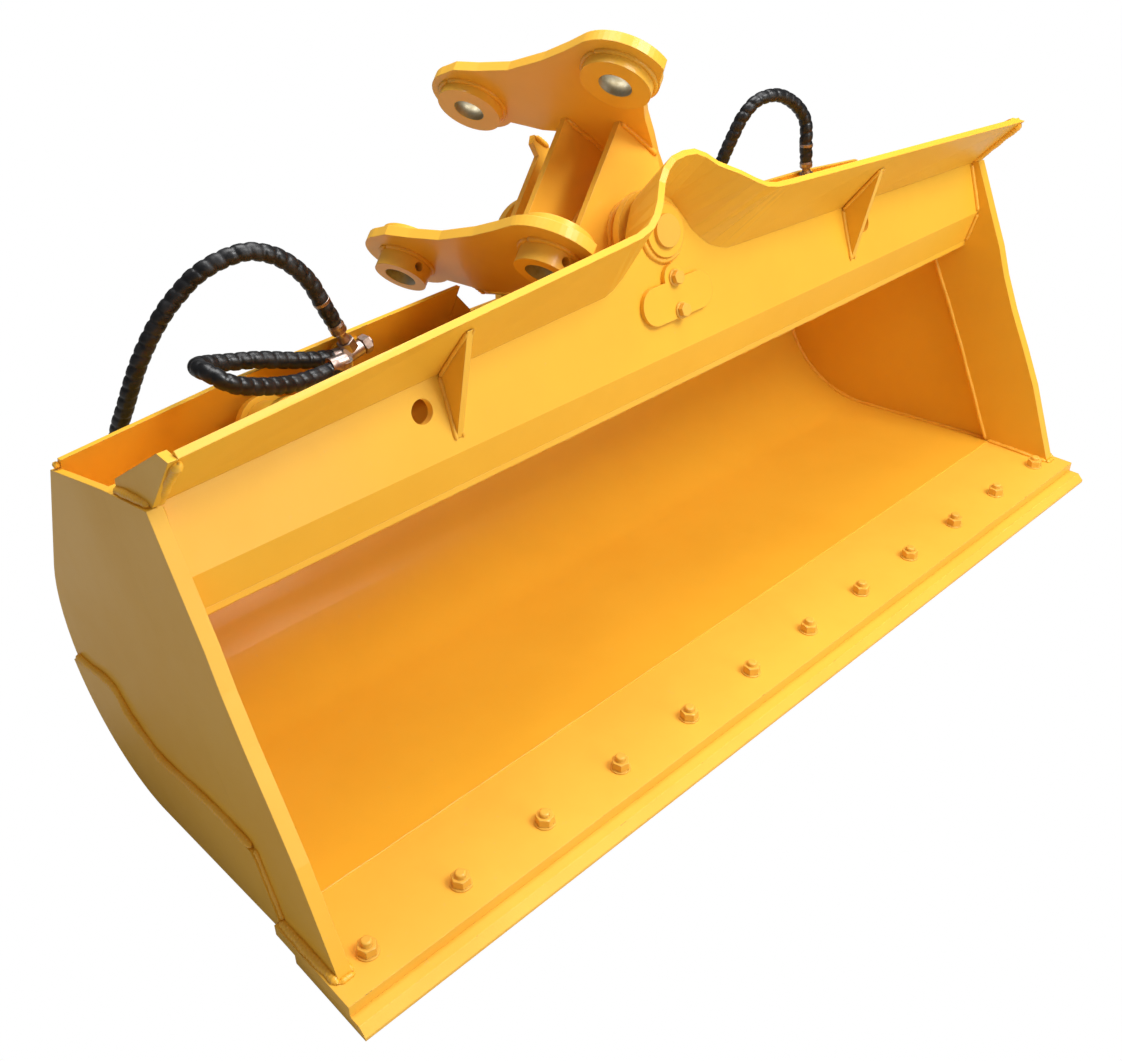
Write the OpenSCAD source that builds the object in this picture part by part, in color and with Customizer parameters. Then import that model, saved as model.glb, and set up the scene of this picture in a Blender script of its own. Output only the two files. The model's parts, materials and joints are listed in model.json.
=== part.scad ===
// Tilting ditch-cleaning bucket for an excavator, with the headstock tilted all the way.
// X runs along the cutting edge to the right, Y to the rear, Z up.
// The origin is the middle of the base plate's front edge, at the underside of the bolt-on edge.

/* [Bucket] */
// Half the width over the end panels
half_w = 890; // [600:5:1100]
// Thickness of the shell plate
shell_t = 8; // [6:1:10]
// Outer radius of the heel
heel_r = 225; // [218:1:232]
// Height of the heel's underside above the edge's underside
belly_z = 3; // [2:1:6]
// Distance of the heel's rearmost line behind the base plate's front edge
heel_rear = 711; // [700:1:720]
// Forward lean of the rear wall from the vertical
rear_lean = 27.6; // [26:0.1:29]
// Height of the rear wall's top at the ends
rear_end_z = 550; // [540:1:556]
// Height of the rear wall's top at its middle
rear_mid_z = 604; // [598:1:608]

/* [Cutting edge] */
// Thickness of the base plate
base_t = 18; // [14:1:25]
// Depth of the base plate, front to rear
base_d = 163; // [150:1:200]
// How far the base plate passes the end panels
base_over = 12; // [8:1:20]
// Thickness of the bolt-on edge
edge_t = 16; // [12:1:20]
// Depth of the bolt-on edge, front to rear
edge_d = 149; // [110:1:180]
// How far the bolt-on edge reaches in front of the base plate
edge_reach = 29; // [15:1:50]
// Number of edge bolts
bolt_count = 12; // [6:2:14]
// Distance of the outermost bolts from the end panels' outer sides
bolt_end = 51.8; // [40:0.1:60]
// Distance of the bolts behind the base plate's front edge
bolt_y = 48; // [35:1:60]
// Diameter of the edge bolts
bolt_d = 16; // [12:1:20]

/* [End panels] */
// Thickness of an end panel
side_t = 10; // [8:1:14]
// Thickness of the side cutter in front of it
strip_t = 20; // [16:1:30]
// Width of the side cutter at the base plate
strip_w = 132; // [100:1:160]
// Thickness of the wear plates outside the heel
wear_t = 7; // [5:1:10]

/* [Top beam] */
// Distance of the face's fold behind the base plate's front edge
fold_y = 277; // [270:1:285]
// Height of the face's fold
fold_z = 502; // [498:1:506]
// Backward lean of the face from the vertical
face_lean = 18.5; // [17.5:0.1:19.5]
// Thickness of the face plate
face_t = 12; // [10:1:16]
// Height of the face at the ends, along the face
face_end_h = 95; // [80:1:110]
// Height of the face at the foot of the hump
face_mid_h = 121; // [112:1:130]
// Height of the hump's top, along the face
hump_h = 238; // [232:1:250]
// Half the width of the hump at its foot
hump_w = 140; // [125:1:160]
// Length of the return flange below the fold
return_h = 62; // [50:1:75]
// Height of the beam's floor at the rear wall
channel_rear_z = 415; // [405:1:425]
// Thickness of the beam's floor
channel_t = 10; // [8:1:12]

/* [Lip] */
// Thickness of the lip
lip_t = 10; // [8:1:14]
// How far the lip's front edge stands before the face at the ends
lip_end_out = 108; // [95:1:110]
// Rise of the lip's front edge above the crease at the ends
lip_end_rise = 60; // [50:1:66]
// How far the lip's front edge stands before the face beside the hump
lip_mid_out = 108; // [100:1:109]
// Rise of the lip's front edge above the crease beside the hump
lip_mid_rise = 76; // [65:1:76]
// Height of the lip's front edge over the hump, along the face
lip_top_h = 283; // [276:1:288]
// Half the width of the lip's front edge at the foot of the hump
lip_foot_w = 185; // [165:1:200]
// Distance of the lip's gussets from the middle
gusset_x = 452; // [420:1:460]
// Thickness of the gussets
gusset_t = 10; // [8:1:14]
// Distance of the face's lifting holes from the middle
hole_x = 498; // [490:1:540]
// Diameter of the lifting holes
hole_d = 34; // [24:1:40]
// Height of the lifting holes, along the face
hole_s = 72; // [60:1:76]

/* [Pivot] */
// Height of the pivot, along the face
pivot_s = 182; // [180:1:184]
// Diameter of the pivot pin
pin_d = 50; // [40:1:60]
// Outer diameter of the boss in the face
boss_d = 78; // [72:1:84]
// How far the boss stands before the face
boss_out = 10; // [6:1:16]
// How far the boss reaches behind the face's front
boss_in = 24; // [18:1:30]
// Distance from the face's front to the rear bearing plate
bearing_a = 285; // [280:1:290]
// Thickness of the rear bearing plate
bearing_t = 15; // [12:1:20]
// Radius of the rear bearing plate's top
bearing_r = 86; // [80:1:92]
// Running clearance at the pins
running = 0.05; // [0.03:0.01:0.08]
// Gap beside turning parts
side_gap = 0.5; // [0.3:0.1:1]

/* [Headstock] */
// Tilt of the headstock from level, as the photograph shows it
head_tilt = 45; // [0:1:45]
// Diameter of the arm and link pin bores
ear_bore_d = 50; // [40:1:55]
// Distance between the ears
ear_gap = 272; // [262:1:280]
// Thickness of an ear
ear_t = 16; // [12:1:20]
// Distance of the front pin before the pivot's face plane
front_pin_a = -20; // [-24:1:-16]
// Height of the front pin over the pivot
front_pin_b = 190; // [187:1:194]
// Distance of the rear pin behind the pivot's face plane
rear_pin_a = 285; // [282:1:290]
// Height of the rear pin over the pivot
rear_pin_b = 223; // [219:1:227]
// Radius of the ears round the front pin
front_ear_r = 76; // [70:1:76]
// Radius of the ears below the front pin, where they pass over the lip
front_ear_low_r = 60; // [56:1:60]
// Radius of the ears round the rear pin
rear_ear_r = 70; // [66:1:72]
// Diameter of the inner bosses
inner_boss_d = 106; // [96:1:110]
// Length of the inner bosses
inner_boss_l = 18; // [12:1:22]
// Diameter of the outer bosses
outer_boss_d = 84; // [76:1:90]
// Length of the outer bosses
outer_boss_l = 30; // [22:1:34]
// Diameter of the cross bolt hole in a left outer boss
cross_bolt_d = 14; // [10:1:16]
// Thickness of the cross plates
cross_t = 12; // [10:1:14]
// Diameter of the hub tube
hub_d = 100; // [94:1:102]
// Diameter of the thrust ring in front of the hub
thrust_d = 130; // [120:1:132]
// Outer diameter of the hub's bushes
bush_d = 64; // [60:1:70]
// Length of a bush
bush_l = 60; // [40:1:80]

/* [Cylinders] */
// Distance of the base pins from the middle
base_pin_x = 600; // [590:1:620]
// Distance of the base pins below the pivot, along the face
base_pin_drop = 100; // [97:1:103]
// Distance of a rod pin from the headstock's middle plane
lug_pin_n = 41; // [40:1:43]
// Distance of the rod pins below the pivot
lug_pin_b = 102; // [100:1:104]
// Outer diameter of the barrels
barrel_d = 64; // [60:1:66]
// Bore of the barrels
barrel_bore = 50; // [44:1:52]
// Diameter of the rods
rod_d = 36; // [30:1:38]
// Gap between the gland and the rod's eye at the shortest stroke
stroke_gap = 10; // [8:1:20]
// Diameter of the cylinders' pins
cyl_pin_d = 35; // [30:1:38]
// Outer diameter of the cylinders' eyes
eye_d = 72; // [64:1:74]
// Outer diameter of the rods' eyes
rod_eye_d = 60; // [56:1:60]
// Width of the cylinders' eyes
eye_w = 66; // [58:1:70]

/* [Hoses] */
// Outer diameter of the hoses over their spiral wrap
hose_d = 27; // [24:1:28]

/* [Hidden] */

paint = [0.93, 0.62, 0.13];
steel = [0.62, 0.62, 0.60];
bronze = [0.72, 0.56, 0.36];
zinc = [0.75, 0.66, 0.60];
rubber = [0.08, 0.08, 0.09];

over = 1;
inner_w = half_w - side_t;
strip_x = half_w - strip_t;
plate_top = edge_t + base_t;
heel_z = belly_z + heel_r;
heel_y = heel_rear - heel_r;

// Points on an arc from angle a0 to a1
function arc(c, r, a0, a1, n) = [for (i = [0:n]) let (a = a0 + (a1 - a0) * i / n) c + r * [cos(a), sin(a)]];
function rear_first(p) = [for (i = [len(p) - 1:-1:0]) p[i]];
function unit(v) = v / norm(v);
function mix(p, q, share) = p + (q - p) * share;

// A plate given by its outline in Y and Z, from x to x + t
module side_on(x, t) translate([x, 0, 0]) rotate([90, 0, 90]) linear_extrude(t) children();
// A plate given by its outline in X and Z, from y to y + t
module front_on(y, t) translate([0, y + t, 0]) rotate([90, 0, 0]) linear_extrude(t) children();
// A round piece along Y, from y
module along_y(y) translate([0, y, 0]) rotate([-90, 0, 0]) children();
// A copy of each child at the right and at the left
module both_sides() {
    children();
    mirror([1, 0, 0]) children();
}

// The heel's floor leaves the arc at floor_slope and meets the base plate's rear edge
floor_slope = atan((plate_top - shell_t - belly_z) / (heel_y - base_d));
function shell_line(r) = arc([heel_y, heel_z], r, -90 - floor_slope, rear_lean, 18);
function wall_y(z, r) = heel_y + r * cos(rear_lean) - (z - heel_z - r * sin(rear_lean)) * tan(rear_lean);
function shell_front(t) = [base_d, plate_top - shell_t + t];
// How far the rear wall stands above the end panels' corners
wall_over = 17;
wall_corner_z = rear_end_z - wall_over;

// Frame of the face: X along the fold, Y behind the face, Z up the face
module on_face() translate([0, fold_y, fold_z]) rotate([-face_lean, 0, 0]) children();
module at_pivot() on_face() translate([0, 0, pivot_s]) children();
module on_head() at_pivot() rotate([0, -head_tilt, 0]) children();
function face_yz(a, s) = [fold_y + s * sin(face_lean) + a * cos(face_lean),
    fold_z + s * cos(face_lean) - a * sin(face_lean)];

// The return flange is turned back a little from the vertical
return_lean = 14;
return_foot = [fold_y + return_h * sin(return_lean), fold_z - return_h * cos(return_lean)];
channel_slope = atan((return_foot.y - channel_rear_z)
    / (wall_y(channel_rear_z, heel_r - shell_t) - return_foot.x));
function channel_z(y) = return_foot.y - (y - return_foot.x) * tan(channel_slope);

// End panel: outline corners as shares of the fold's place and of the beam's height
strip_foot = [fold_y * 0.13, plate_top];
strip_front_share = [[0.347, 0.364], [0.48, 0.51], [0.61, 0.645], [0.72, 0.775], [0.795, 0.885], [0.867, 0.967]];
strip_before = face_t * 1.25;
strip_top = face_yz(-strip_before, face_end_h);
seam_foot = [strip_foot.x + strip_w, plate_top];
seam_mid = [fold_y * 0.98, fold_z * 0.49];
seam_high = [fold_y * 1.25, fold_z * 0.77];
panel_shoulder = [fold_y * 1.5, fold_z * 1.143];

module shell() color(paint) difference() {
    side_on(-inner_w, 2 * inner_w) polygon(concat(
        [shell_front(0)], shell_line(heel_r),
        [[wall_y(rear_mid_z, heel_r), rear_mid_z], [wall_y(rear_mid_z, heel_r - shell_t), rear_mid_z]],
        rear_first(shell_line(heel_r - shell_t)), [shell_front(shell_t)]));
    // The top edge rises toward the middle, where the bearing plate stands in a notch
    front_on(heel_y, heel_r + base_d) both_sides() polygon([
        [inner_w + over, rear_end_z], [inner_w * 0.75, mix(rear_end_z, rear_mid_z, 0.5)],
        [inner_w * 0.45, mix(rear_end_z, rear_mid_z, 0.8)], [inner_w * 0.22, rear_mid_z],
        [inner_w * 0.22, rear_mid_z + over], [inner_w + over, rear_mid_z + over]]);
    front_on(heel_y, heel_r + base_d) both_sides() polygon([
        [0, notch_z], [notch_w, notch_z], [notch_w, step_z], [step_w, step_z],
        [step_w, rear_mid_z + over], [0, rear_mid_z + over]]);
}

module base_edge() color(paint) difference() {
    translate([-half_w - base_over, 0, edge_t]) cube([2 * (half_w + base_over), base_d, base_t]);
    at_bolts() cylinder(h = 4 * base_t, d = bolt_d, center = true, $fn = 24);
}

bolt_pitch = 2 * (half_w - bolt_end) / (bolt_count - 1);
module at_bolts() for (i = [0:bolt_count - 1])
    translate([(i - (bolt_count - 1) / 2) * bolt_pitch, bolt_y, edge_t]) children();

bevel = edge_t * 0.7;
module bolt_on_edge() color([0.85, 0.57, 0.14]) difference() {
    side_on(-half_w - base_over, 2 * (half_w + base_over)) polygon([
        [-edge_reach, 0], [edge_d - edge_reach, 0], [edge_d - edge_reach, edge_t],
        [bevel - edge_reach, edge_t], [-edge_reach, edge_t - bevel]]);
    at_bolts() cylinder(h = 4 * edge_t, d = bolt_d, center = true, $fn = 24);
    at_bolts() translate([0, 0, -edge_t - over]) cylinder(h = head_h + over, d = head_d, $fn = 24);
}

head_d = bolt_d * 1.75;
head_h = bolt_d * 0.5;
nut_h = bolt_d * 0.8;
nut_d = bolt_d * 1.73;
module edge_bolts() color(steel) at_bolts() {
    translate([0, 0, -edge_t]) cylinder(h = head_h, d = head_d, $fn = 24);
    translate([0, 0, -edge_t]) cylinder(h = edge_t + base_t + nut_h * 1.3, d = bolt_d, $fn = 24);
}
module edge_nuts() color(steel) at_bolts() translate([0, 0, base_t]) difference() {
    cylinder(h = nut_h, d = nut_d, $fn = 6);
    cylinder(h = 4 * nut_h, d = bolt_d, center = true, $fn = 24);
}

module panel_outline() polygon(concat(
    [seam_foot, seam_mid, seam_high, panel_shoulder, [wall_y(wall_corner_z, heel_r), wall_corner_z]],
    rear_first(shell_line(heel_r)), [[base_d, plate_top - shell_t], [base_d, plate_top]]));
module left_side_plate() color(paint) side_on(-half_w, side_t) panel_outline();
module right_side_plate() color(paint) side_on(inner_w, side_t) panel_outline();

module strip_outline() polygon(concat([strip_foot], [for (p = strip_front_share) [p.x * fold_y, p.y * fold_z]],
    [strip_top, panel_shoulder, seam_high, seam_mid, seam_foot]));
module left_front_strip() color(paint) side_on(-half_w, strip_t) strip_outline();
module right_front_strip() color(paint) side_on(strip_x, strip_t) strip_outline();

// Heel wear plate: upper edge as shares of the heel's radius and height
wear_share = [[0.66, 0.69], [0.49, 0.70], [0.44, 0.59], [0.24, 0.50],
    [0.02, 0.475], [-0.19, 0.48], [-0.40, 0.49], [-0.60, 0.515], [-0.80, 0.52], [-0.905, 0.445], [-1.075, 0.20]];
module wear_outline() polygon(concat(
    [for (p = wear_share) [heel_y + p.x * heel_r, belly_z + p.y * heel_r]],
    [[base_d, plate_top]], [shell_front(0)],
    arc([heel_y, heel_z], heel_r, -90 - floor_slope, -19, 14)));
module left_wear_plate() color(paint) side_on(-half_w - wear_t, wear_t) wear_outline();
module right_wear_plate() color(paint) side_on(half_w, wear_t) wear_outline();

// Hump of the face and of the lip: one half, from its foot to its top, as shares
hump_share = [[1, 0], [0.86, 0.05], [0.69, 0.145], [0.58, 0.27], [0.47, 0.41], [0.39, 0.59],
    [0.31, 0.75], [0.23, 0.89], [0.12, 0.975], [0, 1]];
hump_line = [for (p = hump_share) [p.x * hump_w, mix(face_mid_h, hump_h, p.y)]];

module front_face() color(paint) {
    difference() {
        on_face() front_on(0, face_t) polygon(concat([[-strip_x, 0], [strip_x, 0], [strip_x, face_end_h]], hump_line,
            rear_first([for (p = hump_line) [-p.x, p.y]]), [[-strip_x, face_end_h]]));
        at_pivot() along_y(-over) cylinder(h = 4 * face_t, d = boss_d, $fn = 48);
        both_sides() on_face() translate([hole_x, 0, hole_s]) along_y(-over)
            cylinder(h = 4 * face_t, d = hole_d, $fn = 32);
        at_keeper_bolts() along_y(-face_t) cylinder(h = 4 * face_t, d = keeper_bolt_d, $fn = 24);
    }
    side_on(-strip_x, 2 * strip_x) polygon([[fold_y, fold_z], return_foot,
        return_foot + [face_t / cos(return_lean), 0],
        face_yz(face_t, face_t * tan((return_lean + face_lean) / 2))]);
}

// Lip: stations from the left end over the hump to the right end.
// Each holds the crease's x and s, then the front edge's x, distance before the face, and s.
lip_hump_share = [[1, 1, 0], [0.91, 1.01, 0.02], [0.82, 1.02, 0.035], [0.68, 1.02, 0.11],
    [0.57, 0.99, 0.25], [0.46, 0.92, 0.44], [0.31, 0.77, 0.69], [0.22, 0.74, 0.865],
    [0.12, 0.73, 0.975], [0, 0.73, 1]];
lip_foot_s = face_mid_h + lip_mid_rise;
lip_end_s = face_end_h + lip_end_rise;
function lip_share(x) = (strip_x - x) / (strip_x - lip_foot_w);
function crease_s(x) = mix(face_end_h, face_mid_h, (strip_x - x) / (strip_x - hump_w));
function lip_straight(x) = [x, crease_s(x), x, mix(lip_end_out, lip_mid_out, lip_share(x)),
    mix(lip_end_s, lip_foot_s, lip_share(x))];
lip_half = concat(
    [for (x = [strip_x, gusset_x + gusset_t / 2, gusset_x - gusset_t / 2]) lip_straight(x)],
    [for (i = [0:len(hump_line) - 1]) [hump_line[i].x, hump_line[i].y, lip_hump_share[i].x * lip_foot_w,
        lip_hump_share[i].y * lip_mid_out, mix(lip_foot_s, lip_top_h, lip_hump_share[i].z)]]);
lip_stations = concat(lip_half, [for (i = [len(lip_half) - 2:-1:0])
    let (p = lip_half[i]) [-p[0], p[1], -p[2], p[3], p[4]]]);
function lip_crease(i) = [lip_stations[i][0], 0, lip_stations[i][1]];
function lip_front(i) = [lip_stations[i][2], -lip_stations[i][3], lip_stations[i][4]];
function lip_normal(i) = let (n = len(lip_stations) - 1, p = max(i - 1, 0), q = min(i + 1, n),
    along = lip_crease(q) - lip_crease(p) + lip_front(q) - lip_front(p))
    unit(cross(along, lip_front(i) - lip_crease(i)));
function flat_end(v, i) = i == 0 || i == len(lip_stations) - 1 ? unit([0, v.y, v.z]) : v;
function lip_section(i) = let (up = lip_t * flat_end(lip_normal(i), i), c = lip_crease(i), f = lip_front(i))
    [c, [c.x, face_t, c.z], [c.x + up.x, face_t, c.z + up.z], f + up, f];

// A solid through sections of equal length, closed at both ends, in triangles
module skin(sections) {
    m = len(sections[0]);
    n = len(sections);
    points = [for (s = sections) each s];
    sides = [for (i = [0:n - 2], k = [0:m - 1]) let (a = i * m + k, b = i * m + (k + 1) % m)
        each [[a, b, b + m], [a, b + m, a + m]]];
    ends = concat([for (k = [1:m - 2]) [0, k + 1, k]],
        [for (k = [1:m - 2]) let (o = (n - 1) * m) [o, o + k, o + k + 1]]);
    polyhedron(points, concat(sides, ends));
}
module top_lip() color(paint) on_face()
    skin([for (i = [0:len(lip_stations) - 1]) lip_section(i)]);

gusset_reach = 0.8;
module lip_gussets() color(paint) on_face() both_sides()
    side_on(gusset_x - gusset_t / 2, gusset_t) polygon([
        [0, crease_s(gusset_x) * 0.17], [0, crease_s(gusset_x) - side_gap],
        mix([0, crease_s(gusset_x)], [-lip_straight(gusset_x)[3], lip_straight(gusset_x)[4]],
            gusset_reach) - [0, side_gap * 3]]);

// The gusset at the lip's end stands on the side cutter's top edge, outside the lip
end_foot = mix(strip_top, panel_shoulder, 0.5);
module end_gussets() color(paint) both_sides() side_on(strip_x, side_t) polygon([
    mix(strip_top, panel_shoulder, 0.06), face_yz(-lip_end_out, lip_end_s),
    face_yz(-lip_end_out, lip_end_s + 1.3 * lip_t), face_yz(-lip_end_out + lip_t, lip_end_s + 1.5 * lip_t), end_foot]);

module channel_floor() color(paint) difference() {
    side_on(-inner_w, 2 * inner_w) polygon([
        return_foot, [wall_y(channel_rear_z, heel_r - shell_t), channel_rear_z],
        [wall_y(channel_rear_z - channel_t, heel_r - shell_t), channel_rear_z - channel_t],
        return_foot - [0, channel_t]]);
    both_sides() side_on(strip_x, strip_t) strip_outline();
}

module front_boss() color(paint) at_pivot() along_y(-boss_out) difference() {
    cylinder(h = boss_out + boss_in, d = boss_d, $fn = 48);
    translate([0, 0, -over]) cylinder(h = boss_out + boss_in + 2 * over, d = pin_d + 2 * running, $fn = 48);
}

// The bearing plate stands on the beam's floor in a notch of the rear wall
notch_w = bearing_r * 1.35;
step_w = bearing_r * 2.7;
step_z = rear_mid_z - hub_d * 0.66;
notch_z = face_yz(bearing_a + bearing_t, pivot_s - bearing_r).y - 2 * bearing_t;
module rear_bearing_plate() color(paint) difference() {
    at_pivot() front_on(bearing_a, bearing_t) difference() {
        hull() {
            circle(r = bearing_r, $fn = 64);
            translate([-notch_w + side_gap, -1.1 * bearing_r]) square([2 * (notch_w - side_gap), over]);
            translate([-notch_w + side_gap, -3 * bearing_r]) square([2 * (notch_w - side_gap), over]);
        }
        circle(d = pin_d + 2 * running, $fn = 48);
    }
    under_channel();
}
module under_channel() side_on(-half_w, 2 * half_w) polygon([
    return_foot, [heel_y + heel_r, channel_z(heel_y + heel_r)], [heel_y + heel_r, 0], [return_foot.x, 0]]);

// How far the pivot pin stands out at either end
pin_out = 6;
pin_front = -boss_out - pin_out;
pin_l = bearing_a + bearing_t + boss_out + 3 * pin_out;
module pivot_pin() color(steel) at_pivot() along_y(pin_front)
    cylinder(h = pin_l, d = pin_d, $fn = 48);

keeper_t = 8;
washer_t = 3;
keeper_w = 156;
keeper_h = 58;
keeper_s = 79;
keeper_bolt_d = 12;
keeper_bolt_s = [60, 111];
module at_keeper_bolts() for (s = keeper_bolt_s) on_face() translate([0, 0, s]) children();
module keeper_plate() color(paint) difference() {
    on_face() front_on(-keeper_t, keeper_t) {
        for (x = [-1, 1]) translate([x * (keeper_w - keeper_h) / 2, keeper_s]) circle(d = keeper_h, $fn = 48);
        translate([-(keeper_w - keeper_h) / 2, keeper_s - keeper_h / 2]) square([keeper_w - keeper_h, keeper_h]);
        translate([0, keeper_bolt_s[1]]) circle(r = keeper_h * 0.38, $fn = 48);
    }
    at_keeper_bolts() along_y(-2 * keeper_t) cylinder(h = 4 * keeper_t, d = keeper_bolt_d, $fn = 24);
}
module keeper_bolts() color(steel) at_keeper_bolts() {
    along_y(-keeper_t) cylinder(h = keeper_t + face_t + keeper_bolt_d, d = keeper_bolt_d, $fn = 24);
    along_y(-keeper_t - washer_t) cylinder(h = washer_t, d = keeper_bolt_d * 2.2, $fn = 24);
    along_y(-keeper_t - washer_t - keeper_bolt_d * 0.65)
        cylinder(h = keeper_bolt_d * 0.65, d = keeper_bolt_d * 1.73, $fn = 6);
}

// Cylinders lie in one plane between the middle and rear cross plates
front_cross_a = 60;
middle_cross_a = 147;
rear_cross_a = 244;
cyl_a = (middle_cross_a + cross_t + rear_cross_a) / 2;
lug_t = 14;
lug_r = 44;
base_lug_h = 140;
module base_lugs() color(paint) difference() {
    at_pivot() translate([base_pin_x, 0, -base_pin_drop]) for (side = [-1, 1])
        front_on(cyl_a + side * (eye_w + lug_t + 2 * side_gap) / 2 - lug_t / 2, lug_t) difference() {
            hull() {
                circle(r = lug_r, $fn = 48);
                translate([-lug_r * 1.5, -base_lug_h]) square([3 * lug_r, over]);
            }
            circle(d = cyl_pin_d, $fn = 48);
        }
    under_channel();
}
module left_base_lugs() mirror([1, 0, 0]) base_lugs();
module right_base_lugs() base_lugs();

// Pin heads
pin_head_t = 6;
base_pin_l = eye_w + 2 * lug_t + 2 * pin_head_t;
module base_pin() color(steel) at_pivot() translate([base_pin_x, cyl_a - base_pin_l / 2, -base_pin_drop]) {
    along_y(0) cylinder(h = base_pin_l, d = cyl_pin_d, $fn = 48);
    along_y(-pin_head_t) cylinder(h = pin_head_t, d = cyl_pin_d * 1.4, $fn = 48);
}
module left_base_pin() mirror([1, 0, 0]) base_pin();
module right_base_pin() base_pin();

// A cylinder frame has its base pin at the origin and its rod along X
lug_pin_r = norm([lug_pin_n, lug_pin_b]);
function lug_pin_x(side) = side * lug_pin_n * cos(head_tilt) + lug_pin_b * sin(head_tilt);
function lug_pin_z(side) = side * lug_pin_n * sin(head_tilt) - lug_pin_b * cos(head_tilt);
function cyl_vector(side) = [lug_pin_x(side) - side * base_pin_x, lug_pin_z(side) + base_pin_drop];
function cyl_length(side) = norm(cyl_vector(side));
module on_cylinder(side) at_pivot() translate([side * base_pin_x, cyl_a, -base_pin_drop])
    rotate([0, -atan2(cyl_vector(side).y, cyl_vector(side).x), 0]) children();

gland_l = 26;
gland_step = 2;
// The barrel ends where the shorter of the two strokes' ends leaves stroke_gap to the rod's eye
function end_length(tilt) = norm([lug_pin_n * cos(tilt) + lug_pin_b * sin(tilt) - base_pin_x,
    lug_pin_n * sin(tilt) - lug_pin_b * cos(tilt) + base_pin_drop]);
shortest = min(end_length(45), end_length(-45));
barrel_l = shortest - rod_eye_d / 2 - stroke_gap;
barrel_back = eye_d * 0.42;
port_h = 10;
port_d = 26;
port_in = 112;
// How far the left barrel's ports are turned to the front
port_turn = 25;
module along_x(x) translate([x, 0, 0]) rotate([0, 90, 0]) children();
module barrel(side) color(paint) on_cylinder(side) difference() {
    union() {
        along_y(-eye_w / 2) cylinder(h = eye_w, d = eye_d, $fn = 64);
        along_x(0) cylinder(h = barrel_l - gland_l, d = barrel_d, $fn = 64);
        for (x = [port_in, barrel_l - gland_l * 2]) translate([x, 0, 0])
            rotate(side == -1 ? [port_turn, 0, 0] : [0, 180, 0]) cylinder(h = barrel_d / 2 + port_h, d = port_d, $fn = 32);
    }
    along_x(eye_d / 2 + 2 * shell_t) cylinder(h = barrel_l, d = barrel_bore, $fn = 64);
    along_y(-eye_w) cylinder(h = 2 * eye_w, d = cyl_pin_d + 2 * running, $fn = 48);
}
module left_barrel() barrel(-1);
module right_barrel() barrel(1);
module gland(side) color(steel) on_cylinder(side) along_x(barrel_l - gland_l) difference() {
    cylinder(h = gland_l, d = barrel_d + 2 * gland_step, $fn = 64);
    translate([0, 0, -over]) cylinder(h = gland_l + 2 * over, d = rod_d + 4 * running, $fn = 48);
}
module left_gland() gland(-1);
module right_gland() gland(1);

piston_l = 40;
rod_l = 343;
module rod(side) color(steel) on_cylinder(side) difference() {
    union() {
        along_x(cyl_length(side) - rod_l) cylinder(h = rod_l, d = rod_d, $fn = 48);
        along_x(cyl_length(side) - rod_l) cylinder(h = piston_l, d = barrel_bore - 4 * running, $fn = 64);
        translate([cyl_length(side), 0, 0]) along_y(-eye_w / 2) cylinder(h = eye_w, d = rod_eye_d, $fn = 64);
    }
    translate([cyl_length(side), 0, 0]) along_y(-eye_w) cylinder(h = 2 * eye_w, d = cyl_pin_d + 2, $fn = 48);
}
module left_rod() rod(-1);
module right_rod() rod(1);

// Ears: outline in the head frame, as shares of the pins' distance and of the front pin's height
head_span = rear_pin_a - front_pin_a;
function head_pt(p) = [front_pin_a + p.x * head_span, p.y * front_pin_b];
ear_front_share = [[0.11, 0.50], [0.203, 0.25], [0.305, 0], [0.395, -0.265]];
ear_rear_share = [[0.58, -0.265], [0.58, 0.56], [0.69, 0.59], [0.78, 0.65], [0.85, 0.74]];
ear_top_share = [[0.89, 1.545], [0.76, 1.46], [0.574, 1.37], [0.32, 1.355], [0.14, 1.375]];
module ear_outline() difference() {
    polygon(concat(
        arc([front_pin_a, front_pin_b], front_ear_r, 88, 190, 16),
        arc([front_pin_a, front_pin_b], front_ear_low_r, 215, 275, 10),
        [for (p = ear_front_share) head_pt(p)], [for (p = ear_rear_share) head_pt(p)],
        arc([rear_pin_a, rear_pin_b], rear_ear_r, -110, 95, 24),
        [for (p = ear_top_share) head_pt(p)]));
    for (p = pins) translate(p) circle(d = ear_bore_d, $fn = 64);
}
module left_ear() color(paint) on_head() side_on(-ear_gap / 2 - ear_t, ear_t) ear_outline();
module right_ear() color(paint) on_head() side_on(ear_gap / 2, ear_t) ear_outline();

module ring(h, outer, inner) difference() {
    cylinder(h = h, d = outer, $fn = 64);
    translate([0, 0, -over]) cylinder(h = h + 2 * over, d = inner, $fn = 64);
}
pins = [[front_pin_a, front_pin_b], [rear_pin_a, rear_pin_b]];
module inner_boss() along_x(ear_gap / 2 - inner_boss_l) ring(inner_boss_l, inner_boss_d, ear_bore_d);
module outer_boss() mirror([1, 0, 0]) along_x(ear_gap / 2 + ear_t) ring(outer_boss_l, outer_boss_d, ear_bore_d);
module left_ear_bosses() color(paint) on_head() for (p = pins) translate([0, p.x, p.y]) {
    mirror([1, 0, 0]) inner_boss();
    difference() {
        outer_boss();
        translate([-ear_gap / 2 - ear_t - outer_boss_l / 2, 0, 0]) along_y(-outer_boss_d)
            cylinder(h = 2 * outer_boss_d, d = cross_bolt_d, $fn = 32);
    }
}
module right_ear_bosses() color(paint) on_head() for (p = pins) translate([0, p.x, p.y]) inner_boss();

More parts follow.
